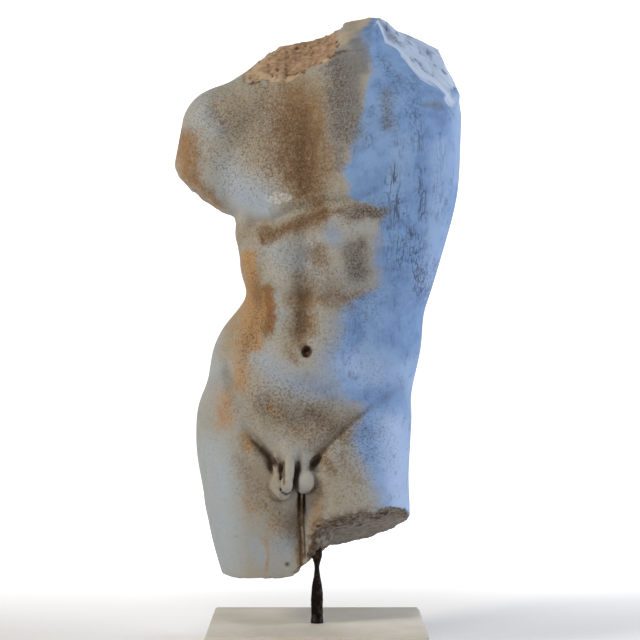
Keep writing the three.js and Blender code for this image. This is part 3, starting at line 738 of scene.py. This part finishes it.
def paintStone(mesh):
    points, normals = surfacePoints(mesh)
    points[:, 2] -= plinthTop / mm
    x, y, z = points.T
    front = fade(0.5, 0.1, normals[:, 1])
    amounts, puff = stainAndLightAmounts(x, y, z, front)
    for name, values in amounts.items():
        paint(mesh, name, values)
    # bare where the surface lies under the skin that the body had before it broke
    faces = breakDistances(x, y, z)
    skin = unbroken(x, y, z)
    bare = fade(-0.5, -2.5, skin)
    paint(mesh, "rim", bare * fade(-13, -6, skin))
    nearest = np.max(list(faces.values()), axis=0)
    broken = {name: bare * fade(-5.0, -1.0, faces[name] - nearest) for name in brokenParts}
    broken["neck"] *= fade(34, 22, x + 5 * puff)  # its worn shelf has a crust again
    chipped = fade(1.1, 0.8, awayFrom(marks["shoulderChip"], x, z)) * front
    broken["shoulder"] = np.maximum(broken["shoulder"], chipped)
    for name, share in broken.items():
        paint(mesh, name + "Break", share)
    # painted shade: how far the stone closes in round a place, near it and farther off, darkens its creases
    # and valleys
    paint(mesh, "hollow", depthUnder(points, normals, 6) * (1 - 0.85 * broken["shoulder"]))
    paint(mesh, "valleyShade", depthUnder(points, normals, 16))


torso = {
    "low": (-226.0, -150.0, 46.0),    # corners of the box that it is worked out in, millimetres
    "high": (226.0, 160.0, 862.0),
    "gridMm": 2.4,
    "quickShare": 1.6,
    "perBlock": 8,
    "triangles": 190000,
    "creaseDegrees": 48,
}


def makeTorso():
    low, high = np.array(torso["low"]), np.array(torso["high"])
    fine = torso["gridMm"] * 1.0
    values = blockGrid(stone, low, high, fine, torso["perBlock"])
    report("stone field")
    points, quads = surfaceQuads(values, low, fine)
    points = settle(points, stone)
    report(f"stone surface of {len(quads)} quads")
    points[:, 2] += plinthTop / mm
    piece = newObject("marble_figure", newMesh("marble_figure", points * mm, quads))
    faces = len(quads) * 2
    if faces > torso["triangles"]:
        thin = piece.modifiers.new("thin", "DECIMATE")
        thin.ratio = torso["triangles"] / faces
        applied(piece)
    piece.data.shade_smooth()
    piece.data.set_sharp_from_angle(angle=math.radians(torso["creaseDegrees"]))
    paintStone(piece.data)
    report(f"stone mesh of {len(piece.data.polygons)} faces")
    return piece


# materials

# settings that many nodes share
smooth = {"interpolation_type": "SMOOTHSTEP"}
times = {"operation": "MULTIPLY"}


def linear(code):
    channels = [int(code[i:i + 2], 16) / 255 for i in (1, 3, 5)]
    return tuple(c / 12.92 if c <= 0.04045 else ((c + 0.055) / 1.055) ** 2.4 for c in channels) + (1.0,)


def add(tree, kind, inputs=(), **settings):
    # a node with its settings; its inputs, in order or by name, are values, nodes or outputs of nodes
    made = tree.nodes.new(kind)
    for name, value in settings.items():
        setattr(made, name, value)
    for name, value in inputs.items() if isinstance(inputs, dict) else enumerate(inputs):
        if isinstance(value, bpy.types.Node):
            value = value.outputs[0]
        if isinstance(value, bpy.types.NodeSocket):
            tree.links.new(value, made.inputs[name])
        else:
            made.inputs[name].default_value = value
    return made


def newMaterial(name):
    material = bpy.data.materials.new(name)
    material.use_nodes = True
    tree = material.node_tree
    tree.nodes.clear()
    return material, tree, add(tree, "ShaderNodeTexCoord").outputs["Object"]


def finishMaterial(tree, look):
    shader = add(tree, "ShaderNodeBsdfPrincipled", look)
    add(tree, "ShaderNodeOutputMaterial", {"Surface": shader})


def layered(tree, colour, coats):
    # coats laid over one another: where each one lies, how thick it is, and its colour
    for where, thickness, coat in coats:
        share = add(tree, "ShaderNodeMath", [where, thickness], **times)
        colour = add(tree, "ShaderNodeMix", {0: share, 6: colour, 7: coat}, data_type="RGBA").outputs[2]
    return colour


marble = {
    "colours": {
        "ground": "#a39d90",
        "groundCool": "#9b9d9b",
        "pale": "#9fa8ae",
        "white": "#c9cbcb",
        "cream": "#b0a48d",
        # blue and blueDeep: painted blue sky light on the clean stone
        "blue": "#7c9cc6",
        "blueDeep": "#6c8dbb",
        # painted highlight on the blue side
        "blueHighlight": "#aec4e4",
        "vein": "#414d63",
        "tan": "#93856c",
        "brown": "#785a37",
        "brownDeep": "#5d4325",
        "speck": "#4d3b2a",
        "greyCrust": "#6b6b6b",
        "ochre": "#a98253",
        "rust": "#84582f",
        # dark brown of dirt and of painted shade in creases
        "dirtAndShade": "#46301f",
        "neck": "#ae9072",
        "neckPit": "#55392a",
        "neckRim": "#bda88b",
        "shoulder": "#b9c8df",
        "shoulderShade": "#7d8ea9",
        "shoulderRim": "#c6d4e8",
        "thigh": "#908980",
        "thighPit": "#3d3228",
    },
    # width of one feature in millimetres, detail, roughness and distortion
    "patterns": {
        "broad": (90, 3, 0.55, 0),
        "middle": (22, 4, 0.55, 0),
        "small": (9, 3, 0.6, 0),
        "speck": (3.8, 2, 0.6, 0),     # crust grains of 1 to 2 mm, drawn wider so that they show
        "fine": (2.8, 3, 0.75, 0),     # nearer the size of one grain
        "pit": (8, 4, 0.6, 0),
        "vein": (20, 5, 0.6, 0.9),
        "strand": (7, 2, 0.5, 0),
        "split": (12, 5, 0.65, 0),
    },
    # patterns drawn out along the stone: scale along it, and its slant in degrees
    "drawnOut": {"vein": (0.13, -7), "strand": (0.1, -5), "split": (0.3, 38)},
    # in the order in which they lie: layer, how far grains break its edge, the amounts at which it starts
    # and is full, thickness and colour
    "crusts": [
        ("tan", 0.5, 0.0, 0.8, 0.75, "tan"),
        ("brown", 0.8, 0.05, 0.95, 0.9, "brown"),
        ("brown", 0.9, 0.55, 1.2, 0.7, "brownDeep"),
        ("cream", 0.3, 0.1, 0.7, 1.0, "cream"),
        ("grey", 0.5, 0.0, 0.9, 0.8, "greyCrust"),
        ("ochre", 0.4, 0.05, 0.85, 0.85, "ochre"),
        ("rust", 0.7, 0.15, 0.8, 0.8, "rust"),
    ],
}


def stonePatterns(tree, place):
    made = {}
    for name, (widthMm, detail, rough, distortion) in marble["patterns"].items():
        where = place
        if name in marble["drawnOut"]:
            scale, slant = marble["drawnOut"][name]
            where = add(tree, "ShaderNodeMapping", {"Vector": place, "Scale": (1.0, 1.0, scale),
                                                    "Rotation": (0, math.radians(slant), 0)})
        made[name] = add(tree, "ShaderNodeTexNoise",
                         {"Vector": where, "Scale": 1 / (widthMm * mm), "Detail": detail, "Roughness": rough,
                          "Distortion": distortion})
    return made


def alongMiddle(tree, pattern, width):
    # thin lines, where a pattern passes through its middle value
    away = add(tree, "ShaderNodeMath", [pattern, 0.5], operation="SUBTRACT")
    away = add(tree, "ShaderNodeMath", [away], operation="ABSOLUTE")
    return add(tree, "ShaderNodeMapRange", [away, 0.0, width, 1.0, 0.0], **smooth)


def bareAndSkyLitCoats(tree, colours, layer, pattern):
    # bare stone, then the clean side painted blue for sky light, with darker clouds and a painted highlight,
    # and veins and hairlines that run down it
    cool = add(tree, "ShaderNodeMapRange", [pattern["broad"], 0.35, 0.65], **smooth)
    pale = add(tree, "ShaderNodeMapRange", [pattern["middle"], 0.2, 0.6, 0.6, 1.0], **smooth)
    pale = add(tree, "ShaderNodeMath", [layer["pale"], pale], **times)
    deep = add(tree, "ShaderNodeMapRange", [pattern["middle"], 0.35, 0.7], **smooth)
    cleanSkyLit = layered(tree, colours["blue"], [(deep, 1.0, colours["blueDeep"]),
                                             (layer["light"], 0.85, colours["blueHighlight"])])
    vein = alongMiddle(tree, pattern["vein"], 0.016)
    patches = add(tree, "ShaderNodeMapRange", [pattern["middle"], 0.45, 0.62], **smooth)
    vein = add(tree, "ShaderNodeMath", [vein, patches], **times)
    vein = add(tree, "ShaderNodeMath", [vein, layer["blue"]], **times)
    grains = add(tree, "ShaderNodeMapRange", [pattern["speck"], 0.5, 0.7, 0.0, 0.7], **smooth)
    hair = add(tree, "ShaderNodeMath", [alongMiddle(tree, pattern["strand"], 0.05), grains],
               operation="MAXIMUM")
    hair = add(tree, "ShaderNodeMath", [layer["streak"], hair], **times)
    return [(cool, 1.0, colours["groundCool"]), (pale, 1.0, colours["pale"]), (layer["blue"], 1.0, cleanSkyLit),
            (vein, 0.55, colours["vein"]), (hair, 0.95, colours["vein"])]


def crustCoats(tree, colours, layer, pattern):
    # the edge of each crust breaks up into clouds and then into grains
    grainy = add(tree, "ShaderNodeMath", [pattern["small"], 0.5, pattern["speck"]], operation="MULTIPLY_ADD")
    grainy = add(tree, "ShaderNodeMath", [grainy, 0.75], operation="SUBTRACT")
    cloudy = add(tree, "ShaderNodeMath", [pattern["middle"], 0.5], operation="SUBTRACT")
    cloudy = add(tree, "ShaderNodeMath", [cloudy, 0.35], **times)
    coats = []
    for name, grain, start, full, thickness, colour in marble["crusts"]:
        amount = add(tree, "ShaderNodeMath", [layer[name], cloudy], operation="ADD")
        amount = add(tree, "ShaderNodeMath", [grainy, grain, amount], operation="MULTIPLY_ADD")
        where = add(tree, "ShaderNodeMapRange", [amount, start, full], **smooth)
        coats.append((where, thickness, colours[colour]))
    return coats


def grainCoats(tree, colours, layer, pattern):
    # dark grains that crowd together in the crust, and pale ones between them
    crust = add(tree, "ShaderNodeMath", [layer["ochre"], layer["brown"]], operation="ADD")
    crust = add(tree, "ShaderNodeMath", [crust, 0.4, layer["speck"]], operation="MULTIPLY_ADD")
    dark = add(tree, "ShaderNodeMath", [crust, 0.09, pattern["fine"]], operation="MULTIPLY_ADD")
    dark = add(tree, "ShaderNodeMapRange", [dark, 0.54, 0.68], **smooth)
    crowd = add(tree, "ShaderNodeMath", [crust, 0.6, 0.12], operation="MULTIPLY_ADD")
    dark = add(tree, "ShaderNodeMath", [dark, crowd], **times)
    light = add(tree, "ShaderNodeMapRange", [pattern["fine"], 0.42, 0.32], **smooth)
    light = add(tree, "ShaderNodeMath", [light, layer["speck"]], **times)
    return [(dark, 1.0, colours["speck"]), (light, 0.4, colours["pale"])]


def brokenCoats(tree, colours, layer, pattern, place):
    pit = add(tree, "ShaderNodeMapRange", [pattern["pit"], 0.38, 0.6, 1.0, 0.0], **smooth)
    neck = layered(tree, colours["neck"], [(pit, 0.4, colours["neckPit"]),
                                           (layer["rim"], 0.7, colours["neckRim"])])
    split = add(tree, "ShaderNodeMapRange", [pattern["split"], 0.34, 0.5], **smooth)
    shoulder = layered(tree, colours["shoulderShade"], [(split, 1.0, colours["shoulder"]),
                                                        (layer["rim"], 0.8, colours["shoulderRim"])])
    # the pits on the crumbled front of the thigh break are darker, less so towards the back
    depth = add(tree, "ShaderNodeSeparateXYZ", [place]).outputs[1]
    frontPits = add(tree, "ShaderNodeMapRange", [depth, -0.07, 0.01, 0.95, 0.35], **smooth)
    frontPits = add(tree, "ShaderNodeMath", [pit, frontPits], **times)
    under = layered(tree, colours["thigh"], [(frontPits, 1.0, colours["thighPit"])])
    legs = add(tree, "ShaderNodeMath", [layer["thighBreak"], layer["footBreak"]], operation="MAXIMUM")
    crumbs = add(tree, "ShaderNodeMapRange", [pattern["small"], 0.42, 0.56, 0.15, 0.85], **smooth)
    crumbs = add(tree, "ShaderNodeMath", [layer["crumb"], crumbs], **times)
    return [(layer["neckBreak"], 1.0, neck), (layer["shoulderBreak"], 1.0, shoulder), (legs, 1.0, under),
            (crumbs, 1.0, colours["brownDeep"])]


def shadeAndDirtCoats(tree, colours, layer, pattern):
    # painted shade in creases and valleys, dark lines of dirt and painted shade in all that is cut deep, and
    # fresh white flecks on the broken nipple
    shadeAndDirtLines = add(tree, "ShaderNodeMapRange", [layer["dirtAndShade"], 0.1, 0.9], **smooth)
    fresh = add(tree, "ShaderNodeMapRange", [layer["white"], 0.1, 0.6], **smooth)
    flecks = add(tree, "ShaderNodeMapRange", [pattern["speck"], 0.42, 0.58], **smooth)
    fresh = add(tree, "ShaderNodeMath", [fresh, flecks], **times)
    return [(layer["valleyShade"], 0.2, colours["brownDeep"]), (layer["hollow"], 0.85, colours["dirtAndShade"]),
            (shadeAndDirtLines, 0.85, colours["dirtAndShade"]), (fresh, 0.55, colours["white"])]


def marbleMaterial():
    # weathered fine-grained marble: matt, clean and painted blue for sky light on one side, with brown and
    # ochre crust elsewhere, and painted shade in its creases
    material, tree, place = newMaterial("weathered_marble")
    colours = {name: linear(code) for name, code in marble["colours"].items()}
    names = list(stainShadeAndLightStrokes) + ["hollow", "valleyShade", "rim"] + [name + "Break" for name in brokenParts]
    layer = {name: add(tree, "ShaderNodeAttribute", attribute_name=name).outputs["Fac"] for name in names}
    pattern = stonePatterns(tree, place)
    given = (tree, colours, layer, pattern)
    colour = layered(tree, colours["ground"], bareAndSkyLitCoats(*given) + crustCoats(*given) + grainCoats(*given)
                     + brokenCoats(*given, place) + shadeAndDirtCoats(*given))
    height = add(tree, "ShaderNodeMath", [pattern["small"], 0.6], **times)
    height = add(tree, "ShaderNodeMath", [pattern["speck"], 0.4, height], operation="MULTIPLY_ADD")
    finishMaterial(tree, {
        "Base Color": colour,
        "Roughness": add(tree, "ShaderNodeMapRange", [pattern["small"], 0.3, 0.7, 0.6, 0.82], **smooth),
        "Specular IOR Level": 0.3,
        "Normal": add(tree, "ShaderNodeBump", {"Height": height, "Strength": 0.3, "Distance": 0.6 * mm}),
    })
    return material


figure = makeTorso()
figure.data.materials.clear()
figure.data.materials.append(marbleMaterial())


# pieces that follow a rule, built as node trees

def newRule(name, inputs):
    # a geometry tree with one named number for each input, and its first and last nodes
    tree = bpy.data.node_groups.new(name, "GeometryNodeTree")
    tree.interface.new_socket("Geometry", in_out="OUTPUT", socket_type="NodeSocketGeometry")
    for key in inputs:
        tree.interface.new_socket(key, in_out="INPUT", socket_type="NodeSocketFloat")
    start = tree.nodes.new("NodeGroupInput")
    end = tree.nodes.new("NodeGroupOutput")
    return tree, start.outputs, end


def finishRule(tree, end, geometry, material):
    solid = add(tree, "GeometryNodeRealizeInstances", {"Geometry": geometry})
    dressed = add(tree, "GeometryNodeSetMaterial", {"Geometry": solid, "Material": material})
    tree.links.new(dressed.outputs[0], end.inputs[0])


def grown(name, tree, inputs):
    thing = newObject(name, bpy.data.meshes.new(name))
    rule = thing.modifiers.new("rule", "NODES")
    rule.node_group = tree
    for socket in tree.interface.items_tree:
        if socket.item_type == "SOCKET" and socket.in_out == "INPUT":
            rule[socket.identifier] = float(inputs[socket.name])
    return applied(thing)


# metres, read from the frame's own rod
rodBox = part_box("iron_rod")
rod = {
    "foot": rodBox[0][2],
    "top": rodBox[1][2],
    "stone": 0.141,          # where it enters the thigh
    "round foot": 0.009,
    "paddle width": 0.0088,
    "paddle thickness": 0.0048,
    "neck width": 0.0038,
    "neck thickness": 0.0068,
    "tenon": 0.0074,
    "mean radius": 0.006,
    "hammer mark": 0.007,
    "hammer depth": 0.0009,
}


def rodMaterial():
    # black forged iron: oily scale with patches of brown rust
    material, tree, place = newMaterial("forged_black_iron")
    rust = add(tree, "ShaderNodeTexNoise", {"Vector": place, "Scale": 1 / (9 * mm), "Detail": 4.0,
                                            "Roughness": 0.65})
    rust = add(tree, "ShaderNodeMapRange", [rust, 0.5, 0.68], **smooth)
    scale = add(tree, "ShaderNodeTexNoise", {"Vector": place, "Scale": 1 / (3 * mm), "Detail": 3.0,
                                             "Roughness": 0.55})
    finishMaterial(tree, {
        "Base Color": layered(tree, linear("#16110e"), [(rust, 1.0, linear("#4a2f1e"))]),
        "Roughness": add(tree, "ShaderNodeMapRange", [rust, 0.0, 1.0, 0.42, 0.85], **smooth),
        "Metallic": add(tree, "ShaderNodeMapRange", [rust, 0.0, 1.0, 0.75, 0.1], **smooth),
        "Normal": add(tree, "ShaderNodeBump", {"Height": scale, "Strength": 0.4, "Distance": 0.4 * mm}),
    })
    return material


def makeRod():
    tree, given, end = newRule("forged rod", rod)
    length = add(tree, "ShaderNodeMath", [given["top"], given["foot"]], operation="SUBTRACT")
    bar = add(tree, "GeometryNodeMeshCylinder", {"Vertices": 40, "Side Segments": 150, "Fill Segments": 2,
                                                 "Radius": 1.0, "Depth": length})
    xyz = add(tree, "ShaderNodeSeparateXYZ", [add(tree, "GeometryNodeInputPosition")]).outputs
    ends = add(tree, "ShaderNodeMath", [given["top"], given["foot"]], operation="ADD")
    height = add(tree, "ShaderNodeMath", [ends, 0.5, xyz[2]], operation="MULTIPLY_ADD")
    free = add(tree, "ShaderNodeMath", [given["stone"], plinthTop], operation="SUBTRACT")

    def along(share):
        return add(tree, "ShaderNodeMath", [free, share, plinthTop], operation="MULTIPLY_ADD")

    def halfSize(paddle, neck):
        # round foot, then the hammered paddle, the neck and the round tenon
        size = add(tree, "ShaderNodeMapRange",
                   [height, along(0.0), along(0.12), given["round foot"], given[paddle]], **smooth)
        for before, after, start, stop in ((paddle, neck, 0.4, 0.8), (neck, "tenon", 0.8, 0.98)):
            change = add(tree, "ShaderNodeMath", [given[after], given[before]], operation="SUBTRACT")
            change = add(tree, "ShaderNodeMapRange", [height, along(start), along(stop), 0.0, change],
                         **smooth)
            size = add(tree, "ShaderNodeMath", [size, change], operation="ADD")
        return size

    wide = add(tree, "ShaderNodeMath", [xyz[0], halfSize("paddle width", "neck width")], **times)
    deep = add(tree, "ShaderNodeMath", [xyz[1], halfSize("paddle thickness", "neck thickness")], **times)
    shaped = add(tree, "ShaderNodeCombineXYZ", [wide, deep, height])
    density = add(tree, "ShaderNodeMath", [1.0, given["hammer mark"]], operation="DIVIDE")
    marks = add(tree, "ShaderNodeTexVoronoi", {"Vector": shaped, "Scale": density}, feature="SMOOTH_F1")
    # the marks stop short of both round ends
    struck = add(tree, "ShaderNodeMapRange", [height, along(0.0), along(0.1)], **smooth)
    roundEnd = add(tree, "ShaderNodeMapRange", [height, along(0.9), along(1.0), 1.0, 0.0], **smooth)
    dent = given["hammer depth"]
    for part in (marks, struck, roundEnd):
        dent = add(tree, "ShaderNodeMath", [dent, part], **times)
    dent = add(tree, "ShaderNodeMath", [dent, given["mean radius"]], operation="DIVIDE")
    inward = add(tree, "ShaderNodeMath", [1.0, dent], operation="SUBTRACT")
    wide = add(tree, "ShaderNodeMath", [wide, inward], **times)
    deep = add(tree, "ShaderNodeMath", [deep, inward], **times)
    final = add(tree, "ShaderNodeCombineXYZ", [wide, deep, height])
    moved = add(tree, "GeometryNodeSetPosition", {"Geometry": bar, "Position": final})
    axis = ((rodBox[0][0] + rodBox[1][0]) / 2, (rodBox[0][1] + rodBox[1][1]) / 2, 0)
    stood = add(tree, "GeometryNodeTransform", {"Geometry": moved, "Translation": axis})
    finishRule(tree, end, stood, rodMaterial())
    piece = grown("iron_support", tree, rod)
    piece.data.shade_smooth()
    return piece


# metres, but for the seed and the two edge shares, which are parts of the corner's radius
block = {
    "seed": 3.0,
    "corner": 0.0035,
    "edge start": 1.02,
    "edge full": 1.3,
    "chip size": 0.03,
    "chip depth": 0.0022,
    "tooth size": 0.011,
    "tooth depth": 0.0003,
}
blockCrease = 40  # degrees


def plinthMaterial():
    # plain pale limestone, rubbed flat, with faint bedding and a few darker fossils
    material, tree, place = newMaterial("rubbed_limestone")
    bedding = add(tree, "ShaderNodeMapping", {"Vector": place, "Scale": (0.3, 0.3, 2.5)})
    cloud = add(tree, "ShaderNodeTexNoise", {"Vector": bedding, "Scale": 1 / (40 * mm), "Detail": 5.0,
                                             "Roughness": 0.6})
    cloud = add(tree, "ShaderNodeMapRange", [cloud, 0.35, 0.65], **smooth)
    fossil = add(tree, "ShaderNodeTexNoise", {"Vector": place, "Scale": 1 / (6 * mm), "Detail": 3.0,
                                              "Roughness": 0.7})
    fossil = add(tree, "ShaderNodeMapRange", [fossil, 0.66, 0.74], **smooth)
    rubbed = add(tree, "ShaderNodeTexNoise", {"Vector": place, "Scale": 1 / (2.5 * mm), "Detail": 3.0,
                                              "Roughness": 0.55})
    finishMaterial(tree, {
        "Base Color": layered(tree, linear("#bdb6a8"), [(cloud, 1.0, linear("#cbc6bb")),
                                                        (fossil, 0.5, linear("#8f8573"))]),
        "Roughness": 0.75,
        "Normal": add(tree, "ShaderNodeBump", {"Height": rubbed, "Strength": 0.3, "Distance": 0.4 * mm}),
    })
    return material


def makePlinth():
    tree, given, end = newRule("rubbed block", block)
    low, high = (Vector(corner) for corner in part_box("plinth"))
    size = high - low
    middle = (high + low) / 2
    cube = add(tree, "GeometryNodeMeshCube", {"Size": size, "Vertices X": 76, "Vertices Y": 66,
                                              "Vertices Z": 14})
    place = add(tree, "GeometryNodeInputPosition")
    # rounded edges: pull each point in to the inner box, then out again by the radius
    corner = add(tree, "ShaderNodeCombineXYZ", [given["corner"]] * 3)
    inner = add(tree, "ShaderNodeVectorMath", [size / 2, corner], operation="SUBTRACT")
    outer = add(tree, "ShaderNodeVectorMath", [inner, (-1.0, -1.0, -1.0)], **times)
    kept = add(tree, "ShaderNodeVectorMath", [place, inner], operation="MINIMUM")
    kept = add(tree, "ShaderNodeVectorMath", [kept, outer], operation="MAXIMUM")
    away = add(tree, "ShaderNodeVectorMath", [place, kept], operation="SUBTRACT")
    direction = add(tree, "ShaderNodeVectorMath", [away], operation="NORMALIZE")
    pushed = add(tree, "ShaderNodeVectorMath", {0: direction, 3: given["corner"]}, operation="SCALE")
    rounded = add(tree, "ShaderNodeVectorMath", [kept, pushed], operation="ADD")
    # chips only where two faces meet
    reach = add(tree, "ShaderNodeVectorMath", [away], operation="LENGTH").outputs["Value"]
    start, full = (add(tree, "ShaderNodeMath", [given["corner"], given[key]], **times)
                   for key in ("edge start", "edge full"))
    bite = add(tree, "ShaderNodeMapRange", [reach, start, full], **smooth)
    shift = add(tree, "ShaderNodeCombineXYZ", [given["seed"]])
    shifted = add(tree, "ShaderNodeVectorMath", [place, shift], operation="ADD")
    grain = {}
    for name, detail in (("chip", 3.0), ("tooth", 2.0)):
        density = add(tree, "ShaderNodeMath", [1.0, given[name + " size"]], operation="DIVIDE")
        grain[name] = add(tree, "ShaderNodeTexNoise", {"Vector": shifted, "Scale": density, "Detail": detail})
    chip = add(tree, "ShaderNodeMapRange", [grain["chip"], 0.5, 0.7], **smooth)
    for part in (chip, given["chip depth"]):
        bite = add(tree, "ShaderNodeMath", [bite, part], **times)
    bite = add(tree, "ShaderNodeMath", [grain["tooth"], given["tooth depth"], bite], operation="MULTIPLY_ADD")
    bite = add(tree, "ShaderNodeMath", [bite, -1.0], **times)
    inward = add(tree, "ShaderNodeVectorMath", {0: direction, 3: bite}, operation="SCALE")
    bitten = add(tree, "ShaderNodeVectorMath", [rounded, inward], operation="ADD")
    moved = add(tree, "GeometryNodeSetPosition", {"Geometry": cube, "Position": bitten})
    stood = add(tree, "GeometryNodeTransform", {"Geometry": moved, "Translation": middle})
    finishRule(tree, end, stood, plinthMaterial())
    piece = grown("plinth_block", tree, block)
    piece.data.shade_smooth()
    piece.data.set_sharp_from_angle(angle=math.radians(blockCrease))
    return piece


support = makeRod()
foot = makePlinth()
report("rod and plinth")

# plain studio: a white sweep and broad soft lights
studio = {
    "sweep": "#f4f4f4",
    "sweepRoughness": 0.9,
    "glow": 0.75,
    "glowFrom": (0.1, 1.3),  # metres behind the figure where the sweep begins to glow, and is brightest
    "world": 0.1,
    "worldSeen": 0.95,
    # back and up, in metres
    "curve": [(-2.4, 0.0), (4.6, 0.0), (5.0, 0.03), (5.4, 0.14), (5.7, 0.34), (5.9, 0.62), (6.0, 1.0),
              (6.0, 6.0)],
    "halfWidth": 7.0,
    # place in metres, power in watts, size, colour
    "lights": [((-2.2, -1.5, 1.7), 50, 0.6, "#fff8ee"), ((2.5, -0.6, 1.2), 38, 1.0, "#eef3ff"),
               ((-0.2, -1.6, 3.0), 20, 0.7, "#ffffff"), ((0.6, 2.0, 1.8), 12, 1.4, "#ffffff")],
}


def sweepMaterial():
    # matt white paper that glows towards the back, so that it ends in pure white
    material, tree, place = newMaterial("white_paper")
    back = add(tree, "ShaderNodeSeparateXYZ", [place]).outputs[1]
    finishMaterial(tree, {
        "Base Color": linear(studio["sweep"]),
        "Roughness": studio["sweepRoughness"],
        "Emission Color": (1, 1, 1, 1),
        "Emission Strength": add(tree, "ShaderNodeMapRange", [back, *studio["glowFrom"], 0.0, studio["glow"]],
                                 **smooth),
    })
    return material


def makeStudio():
    world = bpy.data.worlds.new("studio")
    scene.world = world
    world.use_nodes = True
    tree = world.node_tree
    background = tree.nodes["Background"]
    background.inputs[0].default_value = (1, 1, 1, 1)
    # seen directly it is as white as the sweep, but it lights the stone only a little
    seen = add(tree, "ShaderNodeLightPath").outputs["Is Camera Ray"]
    brightness = add(tree, "ShaderNodeMapRange", [seen, 0.0, 1.0, studio["world"], studio["worldSeen"]],
                     **smooth)
    tree.links.new(brightness.outputs[0], background.inputs[1])
    for place, power, size, colour in studio["lights"]:
        data = bpy.data.lights.new("softbox", "AREA")
        data.energy, data.size, data.color = power, size, linear(colour)[:3]
        lamp = bpy.data.objects.new("softbox", data)
        lamp.location = place
        lamp.rotation_euler = (middleOfView - Vector(place)).to_track_quat("-Z", "Y").to_euler()
        scene.collection.objects.link(lamp)
    # a white sheet that lies under the plinth and curves up behind it
    wide = studio["halfWidth"]
    corners = np.array([(x, y, z) for y, z in studio["curve"] for x in (-wide, wide)])
    strips = np.array([(2 * i, 2 * i + 1, 2 * i + 3, 2 * i + 2) for i in range(len(studio["curve"]) - 1)])
    floor = newObject("floor", newMesh("floor", corners, strips))
    floor.data.shade_smooth()
    floor.data.materials.append(sweepMaterial())
    scene.view_settings.view_transform = "Standard"


makeStudio()

for piece, node, slot in ((figure, "marble_torso", "marble"), (support, "iron_rod", "iron"),
                          (foot, "plinth", "plinth_stone")):
    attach(piece, "root")
    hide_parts(node)

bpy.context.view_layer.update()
report("done")
